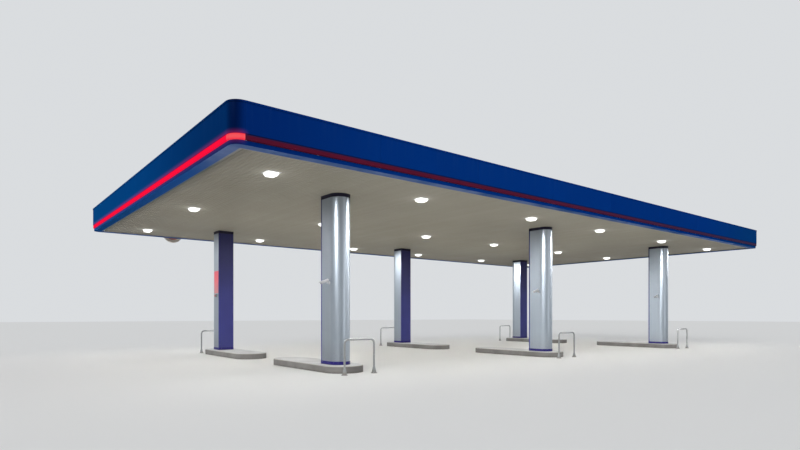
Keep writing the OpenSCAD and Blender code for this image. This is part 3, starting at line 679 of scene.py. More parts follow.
# %% Finish: zinc parts and roof sheets
deck_start = -13.9
deck_sheet = 0.9065
zinc_parts = {
    "guard_zinc": ((0.27, 0.278, 0.28), (0.36, 0.368, 0.37), 55.0, 0.42, 0.75, (0.20, 0.17, 0.14)),
    "zinc_section": ((0.44, 0.455, 0.46), (0.60, 0.615, 0.62), 40.0, 0.36, 0.8, (0.30, 0.29, 0.27)),
    "gutter_zinc": ((0.33, 0.34, 0.34), (0.46, 0.47, 0.475), 45.0, 0.48, 0.6, (0.13, 0.10, 0.07)),
    "flashing": ((0.47, 0.485, 0.49), (0.56, 0.575, 0.58), 30.0, 0.45, 0.3, (0.30, 0.28, 0.25)),
    "deck": ((0.50, 0.515, 0.52), (0.58, 0.595, 0.60), 20.0, 0.5, 0.15, (0.27, 0.25, 0.22)),
}
for name, (dark, light, size, rough, metal, dirt) in zinc_parts.items():
    tree, shader = new_finish(name, Metallic=metal)
    at = place_of(tree)
    tone = tone_of(tree, 1.1, 100.0)
    spangle = use_effect(tree, zinc_spangle, Size=size)["Tone"]
    skin = blend_colors(tree, spangle, dark, light)
    if name == "deck":
        sheets = use_effect(tree, sheet_steps, Place=at.x, Start=deck_start, Length=deck_sheet, Line=0.004)
        skin = blend_colors(tree, sheets["Tone"], dark, light)
        skin = blend_colors(tree, sheets["Joint"], skin, (0.2, 0.2, 0.2))
        washed = ramp(tree, stretched_noise(tree, at.point, (7.0, 0.35, 1.0), 4.0), 0.4, 0.72)
        near_gutter = ramp(tree, apart(tree, calc(tree, "ABSOLUTE", at.y), column_y), 1.9, 0.2)
        dust = times(tree, washed, raised(tree, 0.35, near_gutter, 0.6))
    elif name == "guard_zinc":
        splash = tone_of(tree, 9.0, 40.0)["Cloud"]
        dust = times(tree, ramp(tree, at.z, 0.15, 0.0), raised(tree, 0.3, splash, 0.4))
    else:
        dust = use_effect(tree, settled_dust, Amount=0.75, Patch_Scale=2.2)["Mask"]
    skin = tint(tree, skin, tone["Cloud"], 0.25, dark)
    skin = blend_colors(tree, dust, skin, dirt)
    gloss = raised(tree, raised(tree, rough, spangle, 0.08), dust, 0.3)
    feed(tree, shader, Base_Color=skin, Roughness=gloss)
    press(tree, shader, tone["Grain"], 0.1, 0.002)

# %% [markdown]
# The steel above the ceiling has a grey primer, with rust at welds and cut ends where the primer is
# thin. The rainwater pipes are grey plastic.

# %% Finish: primed steel and pipes
tree, shader = new_finish("steel", Specular_IOR_Level=0.4)
tone = tone_of(tree, 2.4, 60.0)
rust = times(tree, ramp(tree, tone["Grain"], 0.6, 0.7), tone["Cloud"])
paint = blend_colors(tree, tone["Cloud"], (0.17, 0.175, 0.18), (0.23, 0.235, 0.24))
paint = blend_colors(tree, rust, paint, (0.16, 0.06, 0.025))
feed(tree, shader, Base_Color=paint, Roughness=raised(tree, 0.5, rust, 0.3))
press(tree, shader, tone["Grain"], 0.15, 0.002)

pipe_greys = ((0.20, 0.205, 0.21), (0.25, 0.255, 0.26))
plain_skin("pipe", 0.5, (1.5, 200.0), pipe_greys, rough=(0.35, 0.1), bump=(0.05, 0.001))

# %% [markdown]
# The islands are cast concrete kerbs with rounded ends. The top is painted much paler than the sides,
# as painted light on the top and painted shade on the sides. A thin band at the top of the sides is
# nearly white, and dirt lies along the foot where tyres and rain leave it.

# %% Finish: concrete islands
tree, shader = new_finish("concrete", Specular_IOR_Level=0.3)
at = place_of(tree)
skin = use_effect(tree, cast_concrete, Stain_Scale=1.6, Pore_Scale=24.0)
faces_up = ramp(tree, upward(tree), 0.8, 0.98)
arris = times(tree, ramp(tree, at.z, island_z - 0.03, island_z - 0.008), ramp(tree, skin["Sand"], 0.3, 0.5))
edge_band = times(tree, arris, minus(tree, 1.0, faces_up))
foot = times(tree, ramp(tree, at.z, 0.09, 0.0), ramp(tree, skin["Sand"], 0.35, 0.55))
# Painted shade on the sides and painted light on the top: two shades of one concrete.
side = blend_colors(tree, skin["Stain"], (0.135, 0.128, 0.120), (0.200, 0.194, 0.184))
top = blend_colors(tree, skin["Stain"], (0.50, 0.505, 0.51), (0.62, 0.63, 0.635))
color = blend_colors(tree, faces_up, side, top)
color = tint(tree, color, edge_band, 0.8, (0.56, 0.54, 0.50))
color = tint(tree, color, skin["Sand"], 0.3, (0.27, 0.262, 0.25))
color = tint(tree, color, skin["Pore"], 0.6, (0.08, 0.075, 0.07))
color = tint(tree, color, foot, 0.6, (0.09, 0.08, 0.07))
feed(tree, shader, Base_Color=color, Roughness=raised(tree, 0.72, skin["Sand"], 0.2))
press(tree, shader, skin["Height"], 0.5, 0.006)

# %% [markdown]
# The small things: white moulded cameras, the blank round sign with its pale rim, and a plain red plate
# that has faded towards its lower end. The sign's rim comes from the distance to its centre.

# %% Finish: cameras, sign, plate
camera_whites = ((0.52, 0.52, 0.53), (0.60, 0.60, 0.61))
plain_skin("camera_white", 0.5, (6.0, 400.0), camera_whites, rough=(0.25, 0.1), bump=(0.05, 0.0006))

sign_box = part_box("round_sign")
sign_mid = (sign_box[0] + sign_box[1]) / 2
sign_r = (sign_box[1].x - sign_box[0].x) / 2
rim_starts = sign_r - 0.12
tree, shader = new_finish("sign_blank", Specular_IOR_Level=0.5)
at = place_of(tree)
across = minus(tree, at.x, sign_mid.x)
away = length_of(tree, x=across, z=minus(tree, at.z, sign_box[1].z - sign_r))
tone = tone_of(tree, 2.5, 250.0)
face = blend_colors(tree, tone["Cloud"], (0.42, 0.16, 0.12), (0.50, 0.20, 0.15))
rim = blend_colors(tree, tone["Cloud"], (0.58, 0.50, 0.40), (0.66, 0.58, 0.47))
paint = blend_colors(tree, ramp(tree, away, rim_starts - 0.005, rim_starts), face, rim)
feed(tree, shader, Base_Color=paint, Roughness=raised(tree, 0.3, tone["Grain"], 0.15))
press(tree, shader, ramp(tree, away, rim_starts - 0.01, rim_starts), 0.4, 0.004)

plate_low, plate_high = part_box("notice_plate")
tree, shader = new_finish("plate_red", Specular_IOR_Level=0.4)
tone = tone_of(tree, 3.0, 180.0)
faded = ramp(tree, place_of(tree).z, plate_high.z - 0.2, plate_low.z)
paint = blend_colors(tree, faded, (0.80, 0.10, 0.14), (0.50, 0.20, 0.22))
paint = tint(tree, paint, tone["Cloud"], 0.3, (0.62, 0.12, 0.15))
feed(tree, shader, Base_Color=paint, Roughness=raised(tree, 0.35, tone["Grain"], 0.2))
press(tree, shader, tone["Grain"], 0.05, 0.001)

# %% [markdown]
# Each CAD part gets its finish in its material slots, mostly the one that the record names for it. Four
# parts differ. The skirts and the lit corner pieces of the strip have a tone of their own, the end
# rafters are painted like the beams, and the ridge cap is folded from the sheet of the flashings.

# %% Give the CAD parts their finishes
parts_of = {
    "concrete": "islands",
    "guard_zinc": "hoop_guards",
    "steel": "column_cores casing_bars girders purlin_cleats end_rafters",
    "silver_cladding": "column_casings",
    "violet_cladding": "column_panels column_trims",
    "navy_trim": "column_collars",
    "skirt_blue": "column_skirts",
    "pipe": "downpipes",
    "zinc_section": "purlins fascia_frames soffit_runners",
    "gutter_zinc": "gutters gutter_linings gutter_ends",
    "deck": "roof_deck",
    "flashing": "ridge_cap roof_flashing",
    "fascia_blue": "capping fascia_front fascia_back fascia_left fascia_right fascia_corners lower_band",
    "strip_unlit": "light_strip_front light_strip_back light_strip_right light_corners_right",
    "strip_lit": "light_strip_left",
    "strip_lit_corner": "light_corners_left",
    "ceiling": "soffit_panels",
    "ceiling_trim": "soffit_trim",
    "lamp_case": "lamp_housings",
    "lamp_lens": "lamp_lenses",
    "camera_white": "camera_brackets camera_bodies",
    "sign_blank": "round_sign",
    "plate_red": "notice_plate",
}
dressed = set()
for finish, parts in parts_of.items():
    for part in parts.split():
        dressed.add(part)
        for slot in nodes[part].material_slots:
            slot.material = finishes[finish]
print("parts dressed", len(dressed), "without a finish", sorted(set(nodes) - dressed))

# %% [markdown]
# What is left are the fixings: nuts, screws, rivets, weld beads and seals. They are small and come in
# hundreds, so each kind is one mesh. Their own finishes come first.

# %% Finishes of the fixings
tree, shader = new_finish("fixing_zinc", Metallic=0.7)
tone = tone_of(tree, 14.0, 300.0)
spangle = use_effect(tree, zinc_spangle, Size=160.0)["Tone"]
paint = blend_colors(tree, spangle, (0.36, 0.365, 0.36), (0.52, 0.525, 0.52))
paint = blend_colors(tree, ramp(tree, tone["Grain"], 0.56, 0.66), paint, (0.22, 0.15, 0.10))
feed(tree, shader, Base_Color=paint, Roughness=raised(tree, 0.34, tone["Grain"], 0.15))
press(tree, shader, tone["Grain"], 0.1, 0.0006)

rubber = ((0.045, 0.045, 0.048), (0.08, 0.08, 0.082))
plain_skin("sealant", 0.25, (9.0, 350.0), rubber, rough=(0.6, 0.15), bump=(0.2, 0.0008))
dark_glass = ((0.008, 0.008, 0.011), (0.016, 0.016, 0.022))
plain_skin("camera_glass", 0.6, (30.0, 500.0), dark_glass, rough=(0.06, 0.06), bump=(0.03, 0.0003))
knob_reds = ((0.32, 0.012, 0.018), (0.42, 0.020, 0.026))
plain_skin("knob_red", 0.5, (12.0, 400.0), knob_reds, rough=(0.28, 0.12), bump=(0.05, 0.0004))

# %% [markdown]
# A fixing is a turned shape: rings of points, each with a radius and a height, joined by faces. `turned`
# makes one such shape, `stamped` copies it to a list of places and makes the piece, and `facing` is a
# place: a point, and the direction in which the fixing stands out of its sheet. The first ring lies just
# under the sheet that the fixing holds, so that nothing floats.

# %% Helpers for turned and stamped pieces
mm = 0.001
sides = (-1, 1)
down = (0, 0, -1)
here = [Matrix.Identity(4)]
piece_count = {}


def round_point(radius, turn, height=0.0):
    """A point round the upright axis."""
    return Vector((radius * math.cos(turn), radius * math.sin(turn), height))


def skin_between(rows, count, ends="capped"):
    """Faces between rows of points; the ends are capped, open, or joined to each other."""
    faces = []
    for row in range(rows if ends == "joined" else rows - 1):
        low = row * count
        high = (row + 1) % rows * count
        for k in range(count):
            n = (k + 1) % count
            faces.append((low + k, low + n, high + n, high + k))
    if ends == "capped":
        faces.append(tuple(reversed(range(count))))
        faces.append(tuple(range((rows - 1) * count, rows * count)))
    return faces


def turned(rings, count, spin=0.0, unit=mm, ends="capped"):
    """One turned shape from rings of (radius, height), in millimetres unless a unit is given."""
    turns = [2 * math.pi * k / count + spin for k in range(count)]
    points = [round_point(radius * unit, turn, height * unit) for radius, height in rings for turn in turns]
    return points, skin_between(len(rings), count, ends)


def facing(point, direction):
    """The place of a fixing that stands out of its sheet at a point, in a direction."""
    turn = Vector(direction).to_track_quat("Z", "Y").to_matrix().to_4x4()
    return Matrix.Translation(Vector(point)) @ turn


def make_piece(name, points, faces, finish, smooth):
    """One mesh piece in world metres, which belongs to the canopy."""
    mesh = bpy.data.meshes.new(name)
    mesh.from_pydata(points, [], faces)
    mesh.materials.append(finishes[finish])
    if smooth:
        mesh.shade_smooth()
    piece = bpy.data.objects.new(name, mesh)
    scene.collection.objects.link(piece)
    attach(piece, "root")
    piece_count[name] = sum(len(face) - 2 for face in faces)


def stamped(name, shapes, places, finish, smooth=False):
    """Puts the same small shapes at every place, all in one mesh."""
    points, faces = [], []
    for place in places:
        for shape_points, shape_faces in shapes:
            first = len(points)
            points += [place @ p for p in shape_points]
            faces += [tuple(first + k for k in face) for face in shape_faces]
    make_piece(name, points, faces, finish, smooth)
    print(name, len(shapes), "shapes at", len(places), "places")


def stations(half, about, skip=0):
    """Even places from -half to half, about so far from each other, without so many at each end."""
    count = max(1, round(2 * half / about))
    return [-half + 2 * half * k / count for k in range(skip, count + 1 - skip)]


print("helpers for pieces ready")

# %% [markdown]
# Four fixings serve the whole canopy: an anchor nut on its washer with the end of the bolt above it, a
# flat-headed screw, a rivet, and a roof screw with its sealing washer.

# %% Shapes of the fixings
nut = [
    turned([(10.5, -0.5), (10.5, 1.6), (10.0, 2.0)], 16),
    turned([(9.2, 1.0), (9.8, 3.0), (9.8, 9.0), (8.6, 10.2)], 6),
    turned([(5.0, 8.0), (5.0, 15.0), (4.2, 16.0)], 10),
]
pan_head = [turned([(5.0, -1.0), (5.2, 0.8), (4.2, 2.6), (1.8, 3.3)], 10)]
rivet = [turned([(4.6, -1.0), (4.6, 0.5), (3.0, 1.7), (1.3, 1.4)], 8)]
roof_screw = [
    turned([(9.5, -1.0), (9.5, 1.5), (7.0, 2.6)], 8),
    turned([(5.6, 2.0), (5.6, 7.0), (4.6, 7.8)], 6),
]
print("shapes of the fixings ready")

# %% [markdown]
# Each hoop stands on two round flanges, each held by four anchor bolts. The reinforcing cone is welded to
# the flange and to the leg. A weld is never an even ring: its bead has the small ripples that the welder
# leaves. The ring is swept round the leg with a radius that rises and falls.

# %% Nuts and welds of the hoops
hoop_y = 5.95
leg_x = 0.50
flange_top = 0.012
cone_top = 0.202
bolt_circle = 0.0825
legs = [Vector((x + s * leg_x, -way * hoop_y, 0.0)) for x, y, way in columns for s in sides]
quarter_turns = [math.radians(45 + 90 * k) for k in range(4)]
nut_places = []
for leg in legs:
    for turn in quarter_turns:
        nut_places.append(facing(leg + round_point(bolt_circle, turn, flange_top), (0, 0, 1)))
stamped("hoop_nuts", nut, nut_places, "fixing_zinc")


def weld_ring(centre, radius, bead, steps=72, count=7, ripples=24):
    """A rippled bead round an upright leg."""
    points = []
    for k in range(steps):
        turn = 2 * math.pi * k / steps
        size = bead * (1.0 + 0.16 * math.sin(turn * ripples) + 0.06 * math.sin(turn * 5 + radius * 900))
        for j in range(count):
            angle = 2 * math.pi * j / count
            up = size * 0.5 + size * math.sin(angle) * 0.8
            points.append(centre + round_point(radius + size * math.cos(angle), turn, up))
    return points, skin_between(steps, count, "joined")


weld_rings = ((flange_top - 0.001, 0.0700, 0.0032), (cone_top - 0.002, 0.0300, 0.0026))
welds = []
for leg in legs:
    for height, radius, bead in weld_rings:
        welds.append(weld_ring(leg + Vector((0, 0, height)), radius, bead))
stamped("hoop_welds", welds, here, "guard_zinc", smooth=True)

# %% [markdown]
# The casing, its skirt and its collar follow one outline: a half-round nose, two flat sides and a flat
# back. `outline_at` gives that outline at any distance outside the casing, always with the same number
# of points, so a bead is made by joining the outlines of its own small section.

# %% Beads round the columns
def outline_at(out, arc_steps=24):
    """Points of a column's outline, a distance outside the casing."""
    radius = nose + out
    back = back_face + out
    ring = []
    for k in range(arc_steps + 1):
        turn = math.pi + math.pi * k / arc_steps
        ring.append(Vector((radius * math.cos(turn), nose_centre + radius * math.sin(turn), 0)))
    return ring + [Vector((radius, back, 0)), Vector((-radius, back, 0))]


def on_column(column, spot, height):
    """A spot of the outline in the world, beside one column."""
    x, y, way = column
    return Vector((x + way * spot.x, y + way * spot.y, height))


def column_beads(name, section):
    """A bead of seal round every column, from its section of (distance outside the casing, height)."""
    beads = []
    for column in columns:
        points = [on_column(column, spot, height) for out, height in section for spot in outline_at(out)]
        beads.append((points, skin_between(len(section), len(points) // len(section), "joined")))
    stamped(name, beads, here, "sealant")


skirt_out = 0.008
collar_out = 0.006
column_beads("skirt_seals", [
    (skirt_out - 0.002, island_z - 0.001), (skirt_out + 0.008, island_z - 0.001),
    (skirt_out + 0.006, island_z + 0.004), (skirt_out - 0.002, island_z + 0.009),
])
column_beads("collar_seals", [
    (collar_out - 0.002, ceiling_z + 0.0005), (collar_out + 0.007, ceiling_z + 0.0005),
    (collar_out + 0.005, ceiling_z - 0.004), (collar_out - 0.002, ceiling_z - 0.008),
])

# %% [markdown]
# The skirt and the collar are screwed to the casing with flat-headed screws. Rivets hold the two corner
# trims of each casing, which cover the edges of the silver sheet and of the violet panel.

# %% Screws and rivets of the columns
def on_sheet(column, spot, height, aside):
    """The place of a fixing on a column: its spot on the outline and the direction outward there."""
    way = column[2]
    return facing(on_column(column, Vector(spot), height), [way * part for part in aside])


nose_degrees = (205, 235, 270, 305, 335)
side_spots = (0.02, 0.34)
back_spot = 0.2


def band_screws(out, height):
    """Places of the screws round every column at one height."""
    places = []
    for column in columns:
        for degrees in nose_degrees:
            aside = round_point(1.0, math.radians(degrees))
            spot = aside * (nose + out) + Vector((0, nose_centre, 0))
            places.append(on_sheet(column, spot, height, aside))
        for s in sides:
            for y in side_spots:
                places.append(on_sheet(column, (s * (nose + out), y, 0), height, (s, 0, 0)))
            places.append(on_sheet(column, (s * back_spot, back_face + out, 0), height, (0, 1, 0)))
    return places


skirt_places = band_screws(skirt_out, casing_low - 0.03)
stamped("skirt_screws", pan_head, skirt_places, "fixing_zinc")
collar_places = band_screws(collar_out, casing_high + 0.06)
stamped("collar_screws", pan_head, collar_places, "navy_trim")

trim_middle = 0.046 / 2
trim_out = 0.004
casing_mid = (casing_low + casing_high) / 2
from_trim_end = 0.12
trim_half = (casing_high - casing_low) / 2 - from_trim_end
trim_step = 0.45
rivet_places = []
for column in columns:
    for off in stations(trim_half, trim_step):
        for s in sides:
            on_side = (s * (nose + trim_out), back_face - trim_middle, 0)
            on_back = (s * (nose - trim_middle), back_face + trim_out, 0)
            rivet_places.append(on_sheet(column, on_side, casing_mid + off, (s, 0, 0)))
            rivet_places.append(on_sheet(column, on_back, casing_mid + off, (0, 1, 0)))
stamped("trim_rivets", rivet, rivet_places, "fixing_zinc")

# %% [markdown]
# Under the roof, the frame of each fitting is held by eight screws and sealed against the ceiling with a
# dark gasket, a square ring of four sides.

# %% Screws and gaskets of the fittings
frame_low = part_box("lamp_housings")[0].z
frame_half = 0.2
screw_off = 0.1725
fitting_spots = [(s * x, y) for y in (-lamp_row_y, 0.0, lamp_row_y) for x in lamp_lines_x for s in sides]
screw_steps = (-screw_off, 0.0, screw_off)
screw_spots = [(dx, dy) for dx in screw_steps for dy in screw_steps if dx or dy]
frame_screws = []
for x, y in fitting_spots:
    frame_screws += [facing((x + dx, y + dy, frame_low), down) for dx, dy in screw_spots]
stamped("lamp_frame_screws", pan_head, frame_screws, "fixing_zinc")

inner, outer = [(frame_half + off) * math.sqrt(2) for off in (-0.002, 0.004)]
gasket_section = [(inner, -0.004), (outer, -0.004), (outer, 0.0005), (inner, 0.0005)]
gasket = turned(gasket_section, 4, spin=math.radians(45), unit=1.0, ends="joined")
gasket_places = [Matrix.Translation(Vector((x, y, ceiling_z))) for x, y in fitting_spots]
stamped("lamp_gaskets", [gasket], gasket_places, "sealant")

# %% [markdown]
# Screws hold the edge trim of the ceiling, and rivets the return of the lower band, every half metre
# along all four sides.

# %% Screws and rivets along the edge
def edge_places(xs, ys, line_x, line_y, height, direction=None):
    """Places along the four sides at one height; without a direction they face inward."""
    places = [facing((x, s * line_y, height), direction or (0, -s, 0)) for x in xs for s in sides]
    places += [facing((s * line_x, y, height), direction or (-s, 0, 0)) for y in ys for s in sides]
    return places


edge_step = 0.5
trim_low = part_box("soffit_trim")[0].z
trim_width = 0.09
trim_x = straight_x - trim_width / 2
trim_y = straight_y - trim_width / 2
trim_screws = edge_places(
    stations(trim_x, edge_step), stations(trim_y, edge_step, skip=1), trim_x, trim_y, trim_low, down
)
stamped("ceiling_trim_screws", pan_head, trim_screws, "ceiling_trim")

band_in = 0.24
before_corner = 0.1
run_x = straight_x - before_corner
run_y = straight_y - before_corner
band_x = half_long - band_in
band_y = half_wide - band_in
band_rivets = edge_places(
    stations(run_x, edge_step), stations(run_y, edge_step), band_x, band_y, clear_z, down
)
stamped("band_rivets", rivet, band_rivets, "fascia_blue")

# %% [markdown]
# The open joints between the fascia panels are closed from behind by dark rubber strips, which swell a
# little between the two sheets. They stand back from the face, so the joint still reads as a dark line.

# %% Rubber strips in the joints of the fascia
strip_short = 0.014
strip_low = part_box("fascia_left")[0].z + strip_short
strip_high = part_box("fascia_left")[1].z - strip_short
joint_back = 0.007
strip_section = [(-0.0034, 0.0), (-0.0016, 0.002), (0.0016, 0.002), (0.0034, 0.0), (0.0, -0.003)]


def upright_strip(x, y, out, along):
    """One rubber strip in an upright joint: its foot point and its directions out and along the wall."""
    middle = Vector((x, y, 0)) - Vector(out) * joint_back
    points = [
        middle + Vector(along) * a + Vector(out) * b + Vector((0, 0, height))
        for height in (strip_low, strip_high) for a, b in strip_section
    ]
    return points, skin_between(2, len(strip_section))


joint_strips = []
for s in sides:
    for k in range(panels_long + 1):
        x = -straight_x + k * straight_x * 2 / panels_long
        joint_strips.append(upright_strip(x, s * half_wide, (0, s, 0), (1, 0, 0)))
    for k in range(panels_wide + 1):
        y = -straight_y + k * straight_y * 2 / panels_wide
        joint_strips.append(upright_strip(s * half_long, y, (s, 0, 0), (0, 1, 0)))
stamped("fascia_joint_seals", joint_strips, here, "sealant")

# %% [markdown]
# Roofers screw ribbed sheets through the crowns of the ribs, where no water stands, into the purlins
# below: every rib at the ends of a sheet, every second rib between. Each screw has a washer that seals
# it. `screw_lines` gives the purlins' distance from the middle line, and every which rib is screwed.

# %% Screws of the roof
deck_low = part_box("roof_deck")[0].z
deck_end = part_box("roof_deck")[1].x
gutter_half = 0.2
fall = 0.02
rib_high = 0.040
rib_count = 92
rib_step = 2 * deck_end / rib_count
screw_lines = {1.5: 2, 3.0: 2, 4.43: 1, 5.07: 1, 6.11: 2, 7.15: 1}


def crown(y):
    """Height of the rib crowns at a distance from the middle line, and the way the roof leans there."""
    off = abs(abs(y) - column_y) - gutter_half
    outward = 1 if y > 0 else -1
    lean = Vector((0, outward * (-fall if abs(y) > column_y else fall), 1))
    return deck_low + fall * off + rib_high, lean


def on_crowns(y, every, lift=0.0):
    """Places on the rib crowns along one line across the ribs, on every rib or every second one."""
    height, lean = crown(y)
    ribs = range(1, rib_count - 1, every)
    return [facing((-deck_end + (rib + 0.5) * rib_step, y, height + lift), lean) for rib in ribs]


roof_places = []
for line, every in screw_lines.items():
    roof_places += on_crowns(-line, every) + on_crowns(line, every)
stamped("roof_screws", roof_screw, roof_places, "fixing_zinc")

# %% [markdown]
# Rivets hold the ridge cap on both sides of the ridge, the verge flashings on the last ribs, and the
# inner leg of the capping all round.

# %% Rivets of the roof
ridge_rivet_y = 0.155
verge_step = 0.45
verge_x = deck_end - rib_step / 2
verge_runs = ((0.35, 4.4), (5.1, 7.4))
cap_over = 0.010
verge_over = 0.012
cap_leg = 0.18
cap_leg_rivet_below = 0.075
leg_height = top_z - cap_leg_rivet_below
cap_rivets = on_crowns(-ridge_rivet_y, 2, cap_over) + on_crowns(ridge_rivet_y, 2, cap_over)
for start, end in verge_runs:
    for off in stations((end - start) / 2, verge_step):
        for s in sides:
            y = s * ((start + end) / 2 + off)
            height, lean = crown(y)
            cap_rivets += [facing((t * verge_x, y, height + verge_over), lean) for t in sides]
leg_step = 0.6
leg_line_x = half_long - cap_leg
leg_line_y = half_wide - cap_leg
cap_rivets += edge_places(
    stations(run_x, leg_step), stations(run_y, leg_step), leg_line_x, leg_line_y, leg_height
)
stamped("roof_rivets", rivet, cap_rivets, "fixing_zinc")

# %% [markdown]
# In the four roof corners the parapet is rounded, and the straight flashings leave a quarter round open.
# The roofer dresses a small sheet over it. Its outline is the quarter round inside the parapet, with a
# lap over the flashing on both sides; the lower face lies a little in the flashings.

# %% Corner sheets of the roof
deck_in = 0.22
deck_slope = half_wide - deck_in - column_y - gutter_half
flashing_over = 0.0095
patch_low = deck_low + fall * deck_slope + rib_high + flashing_over
patch_high = patch_low + 0.005
lining_in = 0.113
patch_r = corner - lining_in
lap = 0.04
outline = [(-lap, 0.0), (-lap, patch_r)]
quarter = [math.radians(degrees) for degrees in range(0, 91, 6)]
outline += [(patch_r * math.sin(turn), patch_r * math.cos(turn)) for turn in quarter]
outline += [(patch_r, -lap), (0.0, -lap), (0.0, 0.0)]
corner_sheets = []
for sx in sides:
    for sy in sides:
        ring = outline if sx * sy < 0 else outline[::-1]
        points = [
            Vector((sx * (straight_x + u), sy * (straight_y + v), height))
            for height in (patch_low, patch_high) for u, v in ring
        ]
        corner_sheets.append((points, skin_between(2, len(ring))))
stamped("roof_corner_sheets", corner_sheets, here, "flashing")

# %% [markdown]
# Each gutter outlet has a leaf guard: a ring that lies on the gutter floor and a low cage of bent wires
# over the hole, which keeps leaves out of the pipe.

# %% Leaf guards of the outlets
gutter_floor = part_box("gutters")[0].z + 0.006
pipe_r = 0.055
outlet_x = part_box("downpipes")[1].x - pipe_r - column_x
guard_ring = turned([(52, -0.5), (68, -0.5), (68, 2.5), (54, 2.5)], 32, ends="joined")
wire_half = 1.5 * mm
wire_bend = [(58, 1), (52, 9), (38, 15), (20, 18), (0, 19)]
wire_section = ((-1, -1), (1, -1), (1, 1), (-1, 1))
wire_count = 8
wires = []
for k in range(wire_count):
    turn = 2 * math.pi * k / wire_count
    aside = round_point(1.0, turn)
    along = Vector((-math.sin(turn), math.cos(turn), 0))
    points = [
        aside * (radius * mm) + along * a * wire_half + Vector((0, 0, height * mm + b * wire_half))
        for radius, height in wire_bend for a, b in wire_section
    ]
    wires.append((points, skin_between(len(wire_bend), len(wire_section), "open")))
outlet_places = [Matrix.Translation(Vector((x + outlet_x, y, gutter_floor))) for x, y, way in columns]
stamped("leaf_guards", [guard_ring] + wires, outlet_places, "fixing_zinc")

# %% [markdown]
# The cameras get a dark bezel and a domed glass in the recess at the front of each body. The body is
# tilted down by 20 degrees, away from its column, so the front is found along that tilted axis.

# %% Camera fronts
tilt = math.radians(20)
camera_axis = Vector((-math.cos(tilt), 0, -math.sin(tilt)))
camera_up = Vector((-math.sin(tilt), 0, math.cos(tilt)))
camera_below = 0.1
camera_mid = casing_mid - camera_below
camera_out = 0.076
camera_aside = 0.060
camera_lift = 0.060
front_ahead = 0.202
front_places = []
for sx in (-1, 0, 1):
    root = Vector((sx * column_x - nose - camera_out, -column_y - camera_aside, camera_mid))
    front_places.append(facing(root + camera_up * camera_lift + camera_axis * front_ahead, camera_axis))
bezel = turned([(31.5, -1), (31.5, 4), (27, 5), (23, 2)], 40)
stamped("camera_bezels", [bezel], front_places, "sealant")
dome = turned([(23, 1), (21, 4), (16, 6.5), (9, 7.8), (2, 8.1)], 40)
stamped("camera_lenses", [dome], front_places, "camera_glass", smooth=True)

# %% [markdown]
# The red plate hangs on six rivets. Under it sits a stop button: a small grey box with soft edges, a
# collar and a dark red mushroom knob. The box is shaped with bmesh: a cube is scaled, then bevelled.

# %% Plate rivets and stop button
from_side = 0.025
from_end = 0.03
plate_mid_z = (plate_low.z + plate_high.z) / 2
plate_places = [
    facing((plate_low.x, y, z), (-1, 0, 0))
    for y in (plate_low.y + from_side, plate_high.y - from_side)
    for z in (plate_low.z + from_end, plate_mid_z, plate_high.z - from_end)
]
stamped("plate_rivets", rivet, plate_places, "fixing_zinc")

box_size = (0.045, 0.13, 0.13)
box_edge = 0.012
box_out = 0.0215
knob_out = 0.044
button_aside = 0.12
button_below = 0.11
button_at = Vector((-column_x - nose, column_y - button_aside, plate_low.z - button_below))
shell = bmesh.new()
bmesh.ops.create_cube(shell, size=1.0)
bmesh.ops.scale(shell, vec=box_size, verts=shell.verts)
bmesh.ops.bevel(shell, geom=list(shell.edges), offset=box_edge, segments=3, affect="EDGES", profile=0.6)
bmesh.ops.translate(shell, vec=button_at - Vector((box_out, 0, 0)), verts=shell.verts)
box_mesh = bpy.data.meshes.new("stop_box")
shell.to_mesh(box_mesh)
shell.free()
box_mesh.materials.append(finishes["pipe"])
stop_box = bpy.data.objects.new("stop_box", box_mesh)
scene.collection.objects.link(stop_box)
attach(stop_box, "root")
knob = turned([
    (24, -2), (24, 6), (16, 8), (16, 14), (38, 18), (40, 22), (36, 28), (24, 32), (6, 33.5),
], 40)
knob_place = facing(button_at - Vector((knob_out, 0, 0)), (-1, 0, 0))
stamped("stop_knob", [knob], [knob_place], "knob_red")
print("triangles of the fixings", piece_count, "all", sum(piece_count.values()))

# %% [markdown]
# The canopy stands on a plain pale floor that runs far past it, so that no edge of it shows. The world
# gives an even soft light. What the camera and mirrors see behind is a plain pale grey.

# %% Floor and background
floor_far = 160
corner_signs = ((-1, -1), (1, -1), (1, 1), (-1, 1))
floor_corners = [(sx * floor_far, sy * floor_far, 0) for sx, sy in corner_signs]
floor_mesh = bpy.data.meshes.new("studio_floor")
floor_mesh.from_pydata(floor_corners, [], [(0, 1, 2, 3)])
studio_floor = bpy.data.objects.new("studio_floor", floor_mesh)
scene.collection.objects.link(studio_floor)
floor_mat = bpy.data.materials.new("studio_floor")
floor_mat.use_nodes = True
floor_shader = floor_mat.node_tree.nodes["Principled BSDF"]
floor_shader.inputs["Base Color"].default_value = (0.72, 0.72, 0.71, 1.0)
floor_shader.inputs["Roughness"].default_value = 0.85
floor_shader.inputs["Specular IOR Level"].default_value = 0.0
floor_mesh.materials.append(floor_mat)

world = bpy.data.worlds.new("studio")
world.use_nodes = True
scene.world = world
sky = world.node_tree
background = sky.nodes["Background"]
paths = sky.nodes.new("ShaderNodeLightPath").outputs
mirrored = calc(sky, "MAXIMUM", paths["Is Glossy Ray"], paths["Is Transmission Ray"])
seen = calc(sky, "MAXIMUM", paths["Is Camera Ray"], mirrored)
sky.links.new(blend_colors(sky, seen, (0.95, 0.97, 1.0), (0.70, 0.72, 0.74)), background.inputs[0])
sky.links.new(ramp(sky, seen, 0.0, 1.0, 0.75, 1.0), background.inputs[1])
print("floor and background ready")

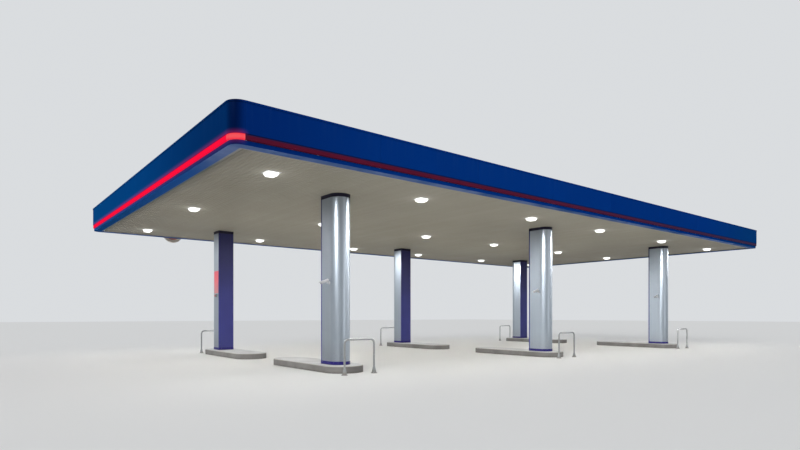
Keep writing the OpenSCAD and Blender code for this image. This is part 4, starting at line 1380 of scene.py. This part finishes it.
# %% [markdown]
# One broad soft light from the left makes the end of the canopy a little brighter than its front, as in
# the photograph. Under every lens stand two small lamps. The first lights the floor and the columns
# softly. The second is only seen by shiny surfaces and draws the tall highlights on the casings; it is
# weaker in the middle row, where the photograph shows fainter streaks, and weakest at its left end. A
# soft box far in front does the same for the faint wide band low on the round noses.

# %% Soft light and the lamps of the canopy
def new_lamp(name, kind, energy, place, unseen_by, **settings):
    """A lamp at a place; the rays that don't see it are camera, diffuse or glossy."""
    data = bpy.data.lights.new(name, kind)
    data.energy = energy
    for key, value in settings.items():
        setattr(data, key, value)
    lamp = bpy.data.objects.new(name, data)
    lamp.location = place
    for rays in unseen_by:
        setattr(lamp, "visible_" + rays, False)
    scene.collection.objects.link(lamp)
    return lamp


key_from = Vector((-0.88, -0.42, 0.34))
key_power = 1.5
key_lamp = new_lamp("soft_key", "SUN", key_power, (0, 0, 0), ["glossy"], angle=math.radians(35.0))
key_lamp.rotation_euler = key_from.to_track_quat("Z", "Y").to_euler()

lamp_white = (1.0, 0.98, 0.94)
lamp_power = 55.0
lamp_shape = {"size": 0.24, "color": lamp_white}
glint_shape = {"shape": "DISK", "size": 0.29}
outer_glint = 330.0
middle_glint = 220.0
middle_glints = {-12.5: 40.0, -7.55: 240.0, -2.25: 320.0}
lamp_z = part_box("lamp_lenses")[0].z - 0.01
for number, (x, y) in enumerate(fitting_spots):
    place = (x, y, lamp_z)
    glint = middle_glints.get(x, middle_glint) if y == 0.0 else outer_glint
    new_lamp("fitting_%02d" % number, "AREA", lamp_power, place, ["camera", "glossy"], **lamp_shape)
    new_lamp("glint_%02d" % number, "AREA", glint, place, ["camera", "diffuse"], **glint_shape)

side_power = 1500.0
side_place = (7.0, -50.0, 2.3)
side_shape = {"shape": "RECTANGLE", "size": 2.2, "size_y": 4.4}
side_lamp = new_lamp("side_box", "AREA", side_power, side_place, ["camera", "diffuse"], **side_shape)
side_lamp.rotation_euler = (math.radians(90.0), 0.0, 0.0)
print("lamps under the lenses", 2 * len(fitting_spots))
